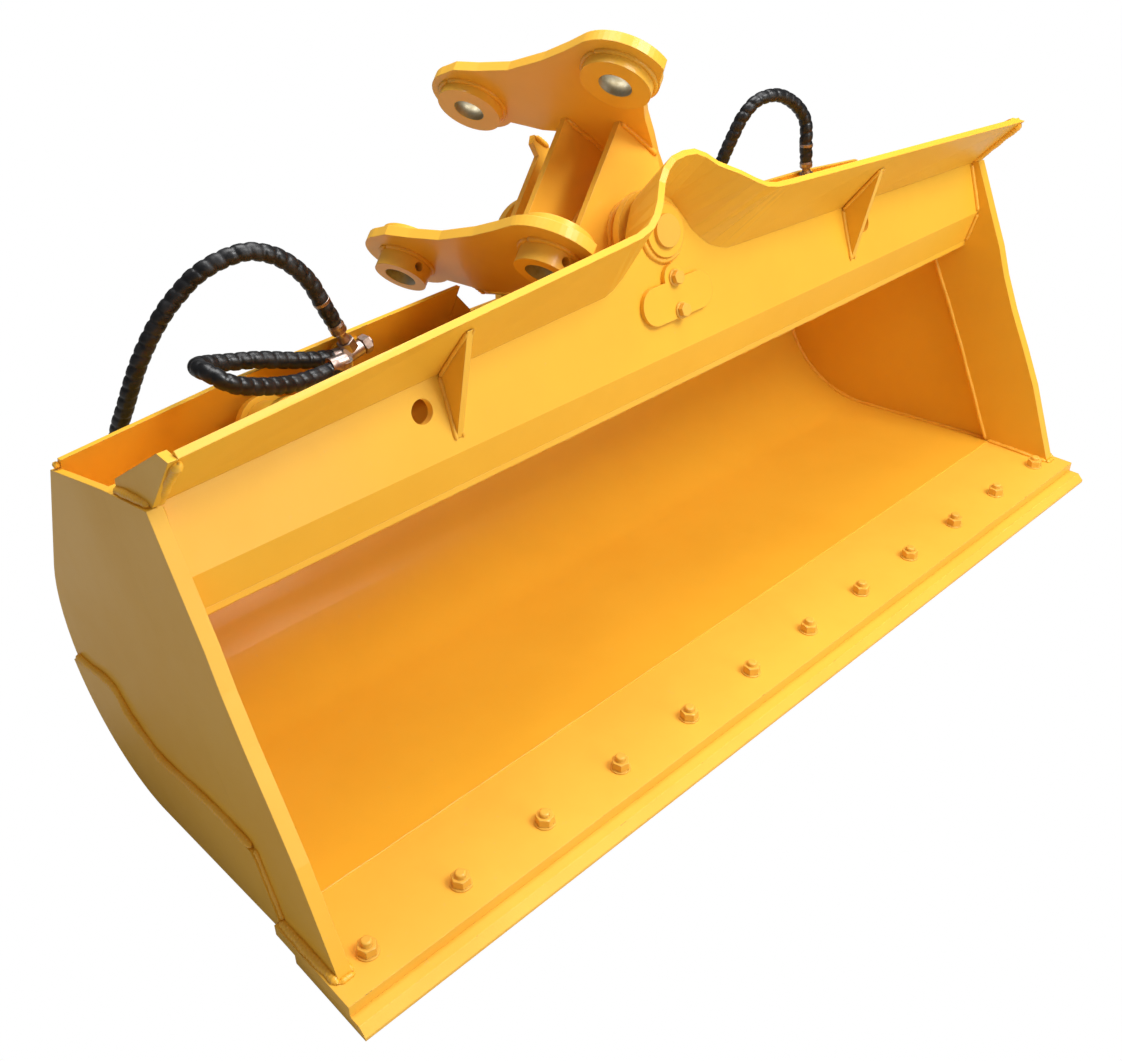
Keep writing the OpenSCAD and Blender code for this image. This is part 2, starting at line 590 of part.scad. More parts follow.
// Cross plates: half outlines as shares of half the ear gap and of the front pin's height
front_cross_share = [[1, 0.535], [1, 0.06], [0.52, -0.305], [0, -0.35]];
middle_cross_share = [[1, 0.72], [1, -0.265], [0.80, -0.35]];
rear_cross_share = [[0, 0.5], [0.82, 0.5], [0.9, 0.6], [1, 0.62], [1, 0.44], [0.62, -0.105], [0.60, -0.37]];
function cross_pts(share) = [for (p = share) [p.x * ear_gap / 2, p.y * front_pin_b]];
module cross_plate(a, share, lugs) color(paint) on_head() front_on(a, cross_t) difference() {
    both_sides() {
        polygon(concat([[0, share[0].y * front_pin_b]], cross_pts(share), [[0, -lug_pin_b * lugs]]));
        if (lugs > 0) hull() {
            translate([lug_pin_n, -lug_pin_b]) circle(r = eye_d / 2, $fn = 48);
            translate([0, -lug_pin_b - eye_d / 2]) square([over, eye_d]);
            translate([0, -hub_d / 2]) square([lug_pin_n + eye_d / 2, over]);
        }
    }
    circle(d = hub_d, $fn = 64);
    if (lugs > 0) for (side = [-1, 1]) translate([side * lug_pin_n, -lug_pin_b])
        circle(d = cyl_pin_d, $fn = 48);
}
module front_cross_plate() cross_plate(front_cross_a, front_cross_share, 0);
module middle_cross_plate() cross_plate(middle_cross_a, middle_cross_share, 1);
module rear_cross_plate() cross_plate(rear_cross_a, rear_cross_share, 1);

thrust_t = 12;
hub_front = boss_in + side_gap;
hub_l = bearing_a - side_gap - hub_front;
module hub_tube() color(paint) on_head() along_y(hub_front) ring(hub_l, hub_d, bush_d);
module thrust_ring() color(paint) on_head() along_y(hub_front) ring(thrust_t, thrust_d, hub_d);
module hub_bushes() color(bronze) on_head() for (a = [hub_front, bearing_a - side_gap - bush_l])
    along_y(a) ring(bush_l, bush_d, pin_d + 2 * running);
module lug_pin_stubs() color(steel) on_head() for (side = [-1, 1])
    translate([side * lug_pin_n, 0, -lug_pin_b]) {
        along_y(middle_cross_a - pin_head_t) cylinder(h = cross_t + pin_head_t, d = cyl_pin_d, $fn = 48);
        along_y(middle_cross_a - pin_head_t) cylinder(h = pin_head_t, d = cyl_pin_d * 1.4, $fn = 48);
        along_y(rear_cross_a) cylinder(h = cross_t + pin_head_t, d = cyl_pin_d, $fn = 48);
        along_y(rear_cross_a + cross_t) cylinder(h = pin_head_t, d = cyl_pin_d * 1.4, $fn = 48);
    }

// Hoses: routes of points in millimetres, swept as tubes
left_route = [[-445, 529, 606], [-445, 529, 627], [-451, 531, 649], [-470, 533, 671], [-496, 535, 693],
    [-531, 538, 719], [-567, 540, 744], [-606, 542, 756], [-642, 548, 751], [-674, 563, 726],
    [-691, 582, 698], [-705, 600, 670], [-716, 616, 641], [-728, 629, 612], [-739, 640, 584],
    [-749, 650, 555], [-757, 663, 517], [-763, 680, 469], [-767, 698, 420], [-769, 713, 370], [-770, 725, 310],
    [-770, 731, 250], [-770, 733, 190], [-768, 735, 130], [-760, 739, 80], [-740, 750, 44], [-706, 766, 28],
    [-660, 778, 26], [-610, 785, 26], [-560, 785, 26]];
loop_route = [[-469, 529, 571], [-491, 529, 571], [-537, 528, 578], [-582, 532, 592], [-631, 543, 604],
    [-670, 542, 612], [-693, 531, 615], [-698, 506, 613], [-684, 493, 605], [-655, 487, 597],
    [-616, 487, 589], [-565, 487, 581], [-532, 488, 578], [-512, 488, 578]];
right_route = [[671, 534, 614], [671, 534, 634], [664, 537, 660], [647, 543, 684], [627, 550, 708],
    [602, 556, 726], [574, 563, 733], [548, 571, 730], [525, 579, 718], [510, 590, 697],
    [502, 602, 673], [499, 615, 646], [498, 630, 616], [497, 644, 576], [495, 661, 528], [492, 682, 470],
    [490, 699, 420], [490, 713, 370], [492, 725, 310], [494, 731, 250], [496, 734, 180], [500, 737, 120],
    [512, 742, 74], [538, 754, 44], [578, 766, 28], [626, 775, 26], [680, 778, 26], [730, 778, 26]];
function route_dir(p, i) = unit(p[min(i + 1, len(p) - 1)] - p[max(i - 1, 0)]);
function turned(u, d) = unit(u - (u * d) * d);
function route_up(p, i) = i == 0 ? turned([0.3, 1, 0.2], route_dir(p, 0)) : turned(route_up(p, i - 1), route_dir(p, i));
tube_sides = 10;
module tube(p, d) skin([for (i = [0:len(p) - 1]) let (t = route_dir(p, i), u = route_up(p, i), w = cross(t, u))
    [for (k = [0:tube_sides - 1]) let (a = -360 * k / tube_sides) p[i] + d / 2 * (cos(a) * u + sin(a) * w)]]);
module left_hose() color(rubber) tube(left_route, hose_d);
module loop_hose() color(rubber) tube(loop_route, hose_d);
module right_hose() color(rubber) tube(right_route, hose_d);

// A round piece that ends where a route starts, along the route
module route_end(p, q) {
    v = unit(p - q);
    translate(p) rotate([0, acos(v.z), atan2(v.y, v.x)]) children();
}
module hose_end() {
    cylinder(h = hose_d, d = hose_d * 0.92, $fn = 32);
    translate([0, 0, hose_d]) cylinder(h = hose_d * 0.7, d = hose_d * 1.05, $fn = 6);
    translate([0, 0, hose_d * 1.7]) cylinder(h = hose_d * 0.6, d = hose_d * 0.7, $fn = 32);
}
module left_hose_end() color(zinc) route_end(left_route[len(left_route) - 1], left_route[len(left_route) - 2]) hose_end();
module right_hose_end() color(zinc) route_end(right_route[len(right_route) - 1], right_route[len(right_route) - 2]) hose_end();

tee_d = hose_d * 0.9;
tee_arm = 24;
tee_at = [loop_route[0].x + tee_arm, loop_route[0].y, loop_route[0].z];
module tee_fitting() color(zinc) {
    translate(tee_at) rotate([0, -90, 0]) cylinder(h = tee_arm, d = tee_d, $fn = 32);
    translate(tee_at) cylinder(h = left_route[0].z - tee_at.z, d = tee_d, $fn = 32);
}
// A bracket holds a fitting before the rear wall's inner side
bracket_gap = 0.1;
module wall_bracket(x, y, z, h) side_on(x - tee_d * 0.9, 1.8 * tee_d) polygon([
    [y + tee_d / 2 + bracket_gap, z], [wall_y(z, heel_r - shell_t), z],
    [wall_y(z + h, heel_r - shell_t), z + h], [y + tee_d / 2 + bracket_gap, z + h]]);
module left_hose_bracket() color(paint) wall_bracket(tee_at.x, tee_at.y, tee_at.z - tee_d / 2, tee_d * 0.75);
module loop_elbow() color(zinc) {
    translate(loop_route[len(loop_route) - 1]) rotate([0, 90, 0]) cylinder(h = hose_d, d = tee_d, $fn = 32);
    on_cylinder(-1) translate([port_in, 0, 0]) rotate([port_turn, 0, 0]) translate([0, 0, barrel_d / 2 + port_h])
        cylinder(h = tee_d, d = tee_d, $fn = 32);
}
fitting_l = hose_d * 2.2;
module right_hose_fitting() color(zinc) translate(right_route[0] - [0, 0, fitting_l])
    cylinder(h = fitting_l, d = tee_d, $fn = 32);
module right_hose_bracket() color(paint)
    wall_bracket(right_route[0].x, right_route[0].y, right_route[0].z - fitting_l, tee_d * 0.75);

shell();
base_edge();
bolt_on_edge();
edge_bolts();
edge_nuts();
left_side_plate();
right_side_plate();
left_front_strip();
right_front_strip();
left_wear_plate();
right_wear_plate();
front_face();
top_lip();
lip_gussets();
end_gussets();
channel_floor();
front_boss();
rear_bearing_plate();
pivot_pin();
keeper_plate();
keeper_bolts();
left_base_lugs();
right_base_lugs();
left_base_pin();
right_base_pin();
left_hose_bracket();
right_hose_bracket();
left_ear();
right_ear();
left_ear_bosses();
right_ear_bosses();
front_cross_plate();
middle_cross_plate();
rear_cross_plate();
hub_tube();
thrust_ring();
hub_bushes();
lug_pin_stubs();
left_barrel();
right_barrel();
left_gland();
right_gland();
left_rod();
right_rod();
tee_fitting();
left_hose();
left_hose_end();
loop_elbow();
loop_hose();
right_hose_fitting();
right_hose();
right_hose_end();
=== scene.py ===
# Tilt bucket: finishes, hoses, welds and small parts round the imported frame
import json
import math

import bpy
import numpy as np
from mathutils import Matrix, Vector


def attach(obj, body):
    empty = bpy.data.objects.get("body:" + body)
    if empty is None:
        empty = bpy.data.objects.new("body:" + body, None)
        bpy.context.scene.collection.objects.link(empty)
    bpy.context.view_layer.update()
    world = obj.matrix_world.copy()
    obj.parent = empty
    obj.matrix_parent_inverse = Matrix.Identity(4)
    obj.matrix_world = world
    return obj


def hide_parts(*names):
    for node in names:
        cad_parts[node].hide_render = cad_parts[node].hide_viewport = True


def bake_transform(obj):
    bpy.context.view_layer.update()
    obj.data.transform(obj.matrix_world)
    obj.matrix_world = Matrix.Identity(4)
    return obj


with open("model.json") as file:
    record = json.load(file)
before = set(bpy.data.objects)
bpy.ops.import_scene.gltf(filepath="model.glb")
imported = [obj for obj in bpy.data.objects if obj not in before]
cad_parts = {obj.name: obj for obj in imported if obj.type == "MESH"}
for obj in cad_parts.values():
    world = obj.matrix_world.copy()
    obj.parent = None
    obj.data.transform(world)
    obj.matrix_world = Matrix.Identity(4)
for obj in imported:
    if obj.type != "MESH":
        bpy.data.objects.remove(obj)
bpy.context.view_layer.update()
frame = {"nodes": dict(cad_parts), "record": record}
nodes = frame["nodes"]
scene = bpy.context.scene
print("frame loaded:", len(nodes), "nodes")

mm = 0.001

# camera, solved from the photograph: metres, degrees and pixels
camera = {
    "place": (-1.30585, -0.79703, 1.27086),
    "yaw": 40.528,
    "pitch": 32.252,
    "roll": -2.671,
    "focal": 1172.6,
    "centre": (502.93, 510.25),
    "photo": (1122, 1061),
    "sensor": 36,
    "near": 0.05,
    "far": 50,
}


def makeCamera(c):
    # forward, right and up from yaw and pitch, then rolled about the forward axis
    yaw, pitch, roll = (math.radians(c[k]) for k in ("yaw", "pitch", "roll"))
    forward = Vector((math.sin(yaw) * math.cos(pitch), math.cos(yaw) * math.cos(pitch), -math.sin(pitch)))
    right = Vector((math.cos(yaw), -math.sin(yaw), 0))
    up = right.cross(forward)
    side = math.cos(roll) * right + math.sin(roll) * up
    top = -math.sin(roll) * right + math.cos(roll) * up
    data = bpy.data.cameras.new("photoCamera")
    obj = bpy.data.objects.new("photoCamera", data)
    scene.collection.objects.link(obj)
    obj.matrix_world = Matrix((
        (side.x, top.x, -forward.x, c["place"][0]),
        (side.y, top.y, -forward.y, c["place"][1]),
        (side.z, top.z, -forward.z, c["place"][2]),
        (0, 0, 0, 1)))
    wide, high = c["photo"]
    data.sensor_width = c["sensor"]
    data.lens = c["focal"] / wide * data.sensor_width
    data.shift_x = (wide / 2 - c["centre"][0]) / wide
    data.shift_y = (c["centre"][1] - high / 2) / wide
    data.clip_start = c["near"]
    data.clip_end = c["far"]
    scene.camera = obj


makeCamera(camera)


# meshes from arrays

def meshPiece(name, points, faces, body, material, smooth=True):
    # points is n x 3 in metres, faces a list or an array of corner numbers
    mesh = bpy.data.meshes.new(name)
    mesh.from_pydata(np.asarray(points, float).tolist(), [], [list(map(int, f)) for f in faces])
    mesh.update()
    if smooth:
        mesh.polygons.foreach_set("use_smooth", np.ones(len(mesh.polygons), bool))
    obj = bpy.data.objects.new(name, mesh)
    scene.collection.objects.link(obj)
    mesh.materials.append(material)
    if body:
        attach(obj, body)
    return obj


def joinPieces(parts):
    points, faces, base = [], [], 0
    for p, f in parts:
        points.append(p)
        faces += [[int(i) + base for i in face] for face in f]
        base += len(p)
    return np.vstack(points), faces


def dressPiece(name, parts, body, material, node=None, smooth=False):
    # parts joined to one piece, which stands for a CAD node where one is named
    points, faces = joinPieces(parts)
    obj = meshPiece(name, points, faces, body, material, smooth)
    if node:
        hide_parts(node)


def gridFaces(rows, columns):
    # quads of a grid of rows x columns points, joined round
    i, k = np.meshgrid(np.arange(rows - 1), np.arange(columns), indexing="ij")
    after = (k + 1) % columns
    return np.stack([i * columns + k, i * columns + after, (i + 1) * columns + after,
                     (i + 1) * columns + k], -1).reshape(-1, 4)


def closedEnds(points, faces, rows, columns):
    # a fan at each end of a tube, from the middle of its first and of its last ring
    last = (rows - 1) * columns
    extra = np.vstack([points[:columns].mean(0), points[last:].mean(0)])
    n = len(points)
    k = np.arange(columns)
    start = np.stack([np.full(columns, n), (k + 1) % columns, k], 1)
    end = np.stack([np.full(columns, n + 1), last + k, last + (k + 1) % columns], 1)
    return np.vstack([points, extra]), faces.tolist() + start.tolist() + end.tolist()


def prismFaces(n):
    # two outlines of n points, the near one first: quads round them and a face over each
    around = np.arange(n)
    after = (around + 1) % n
    sides = np.stack([around, after, after + n, around + n], 1).tolist()
    return sides + [list(range(n))[::-1], list(range(n, 2 * n))]


def smoothRoute(points, step):
    # Catmull-Rom curve through the points, 24 samples a span, taken again at even steps of length
    p = np.asarray(points, float)
    p = np.vstack([2 * p[0] - p[1], p, 2 * p[-1] - p[-2]])
    t = np.linspace(0, 1, 25)[:-1, None]
    spans = [0.5 * (2 * b + (c - a) * t + (2 * a - 5 * b + 4 * c - d) * t ** 2
                    + (3 * b - a - 3 * c + d) * t ** 3)
             for a, b, c, d in zip(p[:-3], p[1:-2], p[2:-1], p[3:])]
    curve = np.vstack(spans + [p[-2][None]])
    run = np.concatenate([[0], np.cumsum(np.linalg.norm(np.diff(curve, axis=0), axis=1))])
    count = max(3, int(round(run[-1] / step)) + 1)
    at = np.linspace(0, run[-1], count)
    return np.stack([np.interp(at, run, curve[:, j]) for j in range(3)], 1), at


def routeSides(path):
    # two directions across the route that turn as little as possible along it
    d = np.gradient(path, axis=0)
    d /= np.linalg.norm(d, axis=1)[:, None]
    u = np.zeros_like(d)
    first = np.cross(d[0], [0.3, 1.0, 0.2])
    u[0] = first / np.linalg.norm(first)
    for i in range(1, len(d)):
        v = u[i - 1] - d[i] * (u[i - 1] @ d[i])
        u[i] = v / np.linalg.norm(v)
    return u, np.cross(d, u)


# shader helpers

def newGroup(name, inputs, outputs):
    group = bpy.data.node_groups.new(name, "ShaderNodeTree")
    for socketName, kind, value in inputs:
        socket = group.interface.new_socket(name=socketName, in_out="INPUT", socket_type=kind)
        socket.default_value = value
    for socketName, kind in outputs:
        group.interface.new_socket(name=socketName, in_out="OUTPUT", socket_type=kind)
    return group, group.nodes.new("NodeGroupInput").outputs, group.nodes.new("NodeGroupOutput").inputs


def feed(tree, socket, value):
    # a number or a colour is set on the socket, an output is linked to it
    if isinstance(value, (int, float, tuple)):
        socket.default_value = value
    else:
        tree.links.new(value, socket)


def placeGroup(tree, group, **values):
    node = tree.nodes.new("ShaderNodeGroup")
    node.node_tree = group
    for socketName, value in values.items():
        feed(tree, node.inputs[socketName], value)
    return node.outputs


def mathNode(tree, operation, a, b=None, clamp=False):
    node = tree.nodes.new("ShaderNodeMath")
    node.operation = operation
    node.use_clamp = clamp
    feed(tree, node.inputs[0], a)
    if b is not None:
        feed(tree, node.inputs[1], b)
    return node.outputs[0]


def vectorNode(tree, kind, a, b=None, scale=None):
    node = tree.nodes.new("ShaderNodeVectorMath")
    node.operation = kind
    tree.links.new(a, node.inputs[0])
    if b is not None:
        tree.links.new(b, node.inputs[1])
    if scale is not None:
        tree.links.new(scale, node.inputs["Scale"])
    return node.outputs["Value" if kind == "DOT_PRODUCT" else "Vector"]


def objectPlace(tree):
    return tree.nodes.new("ShaderNodeTexCoord").outputs["Object"]


def noiseNode(tree, vector, scale, detail, roughness):
    node = tree.nodes.new("ShaderNodeTexNoise")
    node.inputs["Detail"].default_value = detail
    node.inputs["Roughness"].default_value = roughness
    tree.links.new(vector, node.inputs["Vector"])
    feed(tree, node.inputs["Scale"], scale)
    return node.outputs["Fac"]


def rampNode(tree, value, low, high):
    # 0 below low, 1 above high, and a smooth step between them
    node = tree.nodes.new("ShaderNodeMapRange")
    node.interpolation_type = "SMOOTHSTEP"
    tree.links.new(value, node.inputs["Value"])
    feed(tree, node.inputs["From Min"], low)
    feed(tree, node.inputs["From Max"], high)
    return node.outputs["Result"]


def mixColour(tree, factor, a, b):
    node = tree.nodes.new("ShaderNodeMix")
    node.data_type = "RGBA"
    sockets = [s for s in node.inputs if s.enabled]
    for socket, value in zip(sockets, (factor, a, b)):
        feed(tree, socket, value)
    return [s for s in node.outputs if s.enabled][0]


def bumpNode(tree, height, strength, distance, normal=None):
    node = tree.nodes.new("ShaderNodeBump")
    node.inputs["Strength"].default_value = strength
    node.inputs["Distance"].default_value = distance
    tree.links.new(height, node.inputs["Height"])
    if normal is not None:
        tree.links.new(normal, node.inputs["Normal"])
    return node.outputs["Normal"]


def principled(name):
    material = bpy.data.materials.new(name)
    material.use_nodes = True
    tree = material.node_tree
    return material, tree, tree.nodes["Principled BSDF"]


# sprayed paint: each noise is scale, detail and roughness, and each range where it starts and is full
spray = {
    "broad": (3.2, 5, 0.6),
    "broadRange": (0.35, 0.68),
    "broadTone": 0.55,
    "broadRough": 0.1,
    "peel": (420, 2, 0.4),
    "peelHeight": 0.35,
    "ripple": (38, 3, 0.5),
    "specks": (95, 3, 0.7),
    "specksRange": (0.66, 0.74),
    "scuff": (1.6, 4, 0.62),
    "scuffRange": (0.68, 0.76),
    "scuffStretch": (4, 60, 60),
    "scuffTurn": (0.4, 0.3, 0.7),
    "scuffShare": 0.5,
    "dustColour": (0.55, 0.4, 0.22, 1),
    "dustRough": 0.5,
}


def sprayGroup(s):
    # broad tone changes, fine orange peel, specks of dust and thin scuffs
    group, given, out = newGroup("sprayedPaint", [
        ("Colour", "NodeSocketColor", (0.9, 0.5, 0.05, 1)),
        ("Deep", "NodeSocketColor", (0.7, 0.3, 0.02, 1)),
        ("Dust", "NodeSocketFloat", 0.12),
        ("Gloss", "NodeSocketFloat", 0.3)],
        [("Colour", "NodeSocketColor"), ("Roughness", "NodeSocketFloat"), ("Height", "NodeSocketFloat")])
    place = objectPlace(group)
    broad = rampNode(group, noiseNode(group, place, *s["broad"]), *s["broadRange"])
    peel = noiseNode(group, place, *s["peel"])
    ripple = noiseNode(group, place, *s["ripple"])
    specks = rampNode(group, noiseNode(group, place, *s["specks"]), *s["specksRange"])
    stretch = group.nodes.new("ShaderNodeMapping")
    stretch.inputs["Scale"].default_value = s["scuffStretch"]
    stretch.inputs["Rotation"].default_value = s["scuffTurn"]
    group.links.new(place, stretch.inputs["Vector"])
    scuff = rampNode(group, noiseNode(group, stretch.outputs[0], *s["scuff"]), *s["scuffRange"])
    deepShare = mathNode(group, "MULTIPLY", broad, s["broadTone"])
    tone = mixColour(group, deepShare, given["Colour"], given["Deep"])
    marks = mathNode(group, "ADD", specks, mathNode(group, "MULTIPLY", scuff, s["scuffShare"]))
    dusty = mathNode(group, "MULTIPLY", marks, given["Dust"], True)
    group.links.new(mixColour(group, dusty, tone, s["dustColour"]), out["Colour"])
    rough = mathNode(group, "ADD", given["Gloss"], mathNode(group, "MULTIPLY", broad, s["broadRough"]))
    rough = mathNode(group, "ADD", rough, mathNode(group, "MULTIPLY", dusty, s["dustRough"]), True)
    group.links.new(rough, out["Roughness"])
    height = mathNode(group, "ADD", mathNode(group, "MULTIPLY", peel, s["peelHeight"]), ripple)
    group.links.new(height, out["Height"])
    return group


# paint on sharp edges: a rounding in metres, a paler colour that is a painted highlight, and patches of the
# paint chipped off
edgeWearAndHighlight = {
    "samples": 4,
    "radius": 0.0016,
    "range": (0.012, 0.12),
    # the paler colour painted on edges as a highlight, and how much of it is mixed in
    "paintedHighlight": (1.0, 0.66, 0.2, 1),
    "paintedHighlightShare": 0.22,
    "bare": (0.09, 0.05, 0.03, 1),
    "chips": (26, 5, 0.7),
    "chipsRange": (0.66, 0.7),
    "chipsReach": 0.2,
    "chipsGain": 3.0,
}


def edgeGroup(w):
    # an edge is where the rounded normal leaves the true one, and there its colour goes paler as a painted
    # highlight; Chips is how much of its paint is gone
    group, given, out = newGroup("wornAndHighlightedEdge", [
        ("Colour", "NodeSocketColor", (0.9, 0.5, 0.05, 1)),
        ("Chips", "NodeSocketFloat", 0.0)],
        [("Colour", "NodeSocketColor"), ("Normal", "NodeSocketVector")])
    bevel = group.nodes.new("ShaderNodeBevel")
    bevel.samples = w["samples"]
    bevel.inputs["Radius"].default_value = w["radius"]
    rounded = bevel.outputs["Normal"]
    true = group.nodes.new("ShaderNodeNewGeometry").outputs["Normal"]
    leaves = mathNode(group, "SUBTRACT", 1.0, vectorNode(group, "DOT_PRODUCT", true, rounded))
    edge = rampNode(group, leaves, *w["range"])
    reach = mathNode(group, "MULTIPLY", given["Chips"], w["chipsReach"])
    low, high = (mathNode(group, "SUBTRACT", limit, reach) for limit in w["chipsRange"])
    patch = rampNode(group, noiseNode(group, objectPlace(group), *w["chips"]), low, high)
    share = mathNode(group, "MULTIPLY", given["Chips"], w["chipsGain"], True)
    worn = mathNode(group, "MULTIPLY", edge, mathNode(group, "MULTIPLY", patch, share))
    # painted highlight: a paler orange mixed in along every sharp edge; the chips then show bare steel over
    # it
    paintedHighlight = mixColour(group, mathNode(group, "MULTIPLY", edge, w["paintedHighlightShare"]), given["Colour"], w["paintedHighlight"])
    group.links.new(mixColour(group, worn, paintedHighlight, w["bare"]), out["Colour"])
    group.links.new(rounded, out["Normal"])
    return group


# bare and plated metal: a fine grain over stained patches, both sized by the group's Scale
metalGrain = {
    "patches": (5, 0.65),
    "patchesRange": (0.4, 0.7),
    "patchesRough": 0.22,
    "fine": (3, 0.5),
    "fineScale": 14,
    "fineRough": 0.08,
    "relief": 0.25,
    "reliefDepth": 0.0003,
}


def grainGroup(m):
    group, given, out = newGroup("stainedGrain", [
        ("Colour", "NodeSocketColor", (0.5, 0.5, 0.5, 1)),
        ("Stain", "NodeSocketColor", (0.3, 0.25, 0.2, 1)),
        ("Roughness", "NodeSocketFloat", 0.3),
        ("Scale", "NodeSocketFloat", 24.0)],
        [("Colour", "NodeSocketColor"), ("Roughness", "NodeSocketFloat"), ("Height", "NodeSocketFloat")])
    place = objectPlace(group)
    patches = rampNode(group, noiseNode(group, place, given["Scale"], *m["patches"]), *m["patchesRange"])
    fine = noiseNode(group, place, mathNode(group, "MULTIPLY", given["Scale"], m["fineScale"]), *m["fine"])
    group.links.new(mixColour(group, patches, given["Colour"], given["Stain"]), out["Colour"])
    rough = mathNode(group, "MULTIPLY", patches, m["patchesRough"])
    rough = mathNode(group, "ADD", rough, given["Roughness"])
    rough = mathNode(group, "ADD", rough, mathNode(group, "MULTIPLY", fine, m["fineRough"]), True)
    group.links.new(rough, out["Roughness"])
    group.links.new(fine, out["Height"])
    return group


sprayedPaint = sprayGroup(spray)
wornAndHighlightedEdge = edgeGroup(edgeWearAndHighlight)
stainedGrain = grainGroup(metalGrain)

# the heel's axis in Y and Z, in metres, its arc's ends in radians, and how near to it a facet has to face
heel = {
    "axis": (0.486, 0.228),
    "from": -1.642,
    "to": 0.482,
    "facing": 0.97,
}


def heelNormal(tree, rounded, h):
    # on the heel's arc the normal is that of the true cylinder about the heel's axis
    place = tree.nodes.new("ShaderNodeSeparateXYZ")
    tree.links.new(objectPlace(tree), place.inputs[0])
    y = mathNode(tree, "SUBTRACT", place.outputs["Y"], h["axis"][0])
    z = mathNode(tree, "SUBTRACT", place.outputs["Z"], h["axis"][1])
    radial = tree.nodes.new("ShaderNodeCombineXYZ")
    tree.links.new(y, radial.inputs["Y"])
    tree.links.new(z, radial.inputs["Z"])
    outward = vectorNode(tree, "NORMALIZE", radial.outputs[0])
    true = tree.nodes.new("ShaderNodeNewGeometry").outputs["Normal"]
    dot = vectorNode(tree, "DOT_PRODUCT", true, outward)
    angle = mathNode(tree, "ARCTAN2", z, y)
    within = mathNode(tree, "MULTIPLY", mathNode(tree, "GREATER_THAN", angle, h["from"]),
                      mathNode(tree, "LESS_THAN", angle, h["to"]))
    near = mathNode(tree, "GREATER_THAN", mathNode(tree, "ABSOLUTE", dot), h["facing"])
    signed = vectorNode(tree, "SCALE", outward, None, mathNode(tree, "SIGN", dot))
    mix = tree.nodes.new("ShaderNodeMix")
    mix.data_type = "VECTOR"
    tree.links.new(mathNode(tree, "MULTIPLY", within, near), mix.inputs["Factor"])
    tree.links.new(rounded, mix.inputs[4])
    tree.links.new(signed, mix.inputs[5])
    return mix.outputs[1]


# what all the paints share, and each one's own values
paintSurface = {
    "reliefDepth": 0.0006,
    "coat": 0.14,
    "coatRoughness": 0.14,
    "specular": 0.34,
}
paints = {
    "bucketPaint": {"colour": (0.88, 0.475, 0.036), "deep": (0.83, 0.42, 0.026), "gloss": 0.4, "bump": 0.3},
    "shellPaint": {"colour": (0.88, 0.475, 0.036), "deep": (0.83, 0.42, 0.026), "gloss": 0.3, "bump": 0.3,
                   "chips": 0.55, "onHeel": True},
    # the headstock's paint is the same orange made a little brighter: painted light on the headstock
    "headPaintWithPaintedLight": {"colour": (0.92, 0.5, 0.05), "deep": (0.85, 0.43, 0.035), "gloss": 0.3, "bump": 0.25,
                  "chips": 0.12},
    "edgePaint": {"colour": (0.9, 0.5, 0.055), "deep": (0.82, 0.42, 0.035), "gloss": 0.42, "bump": 0.4,
                  "dust": 0.2, "chips": 0.3},
    "boltPaint": {"colour": (0.84, 0.46, 0.06), "deep": (0.7, 0.36, 0.04), "gloss": 0.38, "bump": 0.4,
                  "dust": 0.3},
    "weldPaint": {"colour": (0.92, 0.48, 0.045), "deep": (0.86, 0.4, 0.025), "gloss": 0.3, "bump": 0.3},
}


def paintMaterial(name, colour, deep, gloss, bump, dust=0.12, chips=0.0, onHeel=False):
    material, tree, shader = principled(name)
    coat = placeGroup(tree, sprayedPaint, Colour=(*colour, 1), Deep=(*deep, 1), Dust=dust, Gloss=gloss)
    # edges get chipped paint and a painted highlight
    edges = placeGroup(tree, wornAndHighlightedEdge, Colour=coat["Colour"], Chips=chips)
    rounded = heelNormal(tree, edges["Normal"], heel) if onHeel else edges["Normal"]
    relief = bumpNode(tree, coat["Height"], bump, paintSurface["reliefDepth"], rounded)
    tree.links.new(edges["Colour"], shader.inputs["Base Color"])
    tree.links.new(coat["Roughness"], shader.inputs["Roughness"])
    tree.links.new(relief, shader.inputs["Normal"])
    shader.inputs["Coat Weight"].default_value = paintSurface["coat"]
    shader.inputs["Coat Roughness"].default_value = paintSurface["coatRoughness"]
    shader.inputs["Specular IOR Level"].default_value = paintSurface["specular"]
    return material


metals = {
    "pinSteel": {"colour": (0.48, 0.45, 0.4), "stain": (0.3, 0.24, 0.17),
                 "roughness": 0.3, "metallic": 0.9, "grain": 24},
    "boreSteel": {"colour": (0.42, 0.38, 0.28), "stain": (0.3, 0.24, 0.13),
                  "roughness": 0.4, "metallic": 0.7, "grain": 30},
    "rodChrome": {"colour": (0.72, 0.72, 0.73), "stain": (0.66, 0.66, 0.68),
                  "roughness": 0.08, "metallic": 1.0, "grain": 9},
    "bushBronze": {"colour": (0.55, 0.38, 0.2), "stain": (0.4, 0.26, 0.13),
                   "roughness": 0.35, "metallic": 1.0, "grain": 18},
    "fittingZinc": {"colour": (0.47, 0.39, 0.35), "stain": (0.24, 0.16, 0.13),
                    "roughness": 0.28, "metallic": 1.0, "grain": 60},
}


def metalMaterial(name, colour, stain, roughness, metallic, grain):
    material, tree, shader = principled(name)
    surface = placeGroup(tree, stainedGrain, Colour=(*colour, 1), Stain=(*stain, 1), Roughness=roughness,
                         Scale=grain)
    tree.links.new(surface["Colour"], shader.inputs["Base Color"])
    tree.links.new(surface["Roughness"], shader.inputs["Roughness"])
    relief = bumpNode(tree, surface["Height"], metalGrain["relief"], metalGrain["reliefDepth"])
    tree.links.new(relief, shader.inputs["Normal"])
    shader.inputs["Metallic"].default_value = metallic
    return material


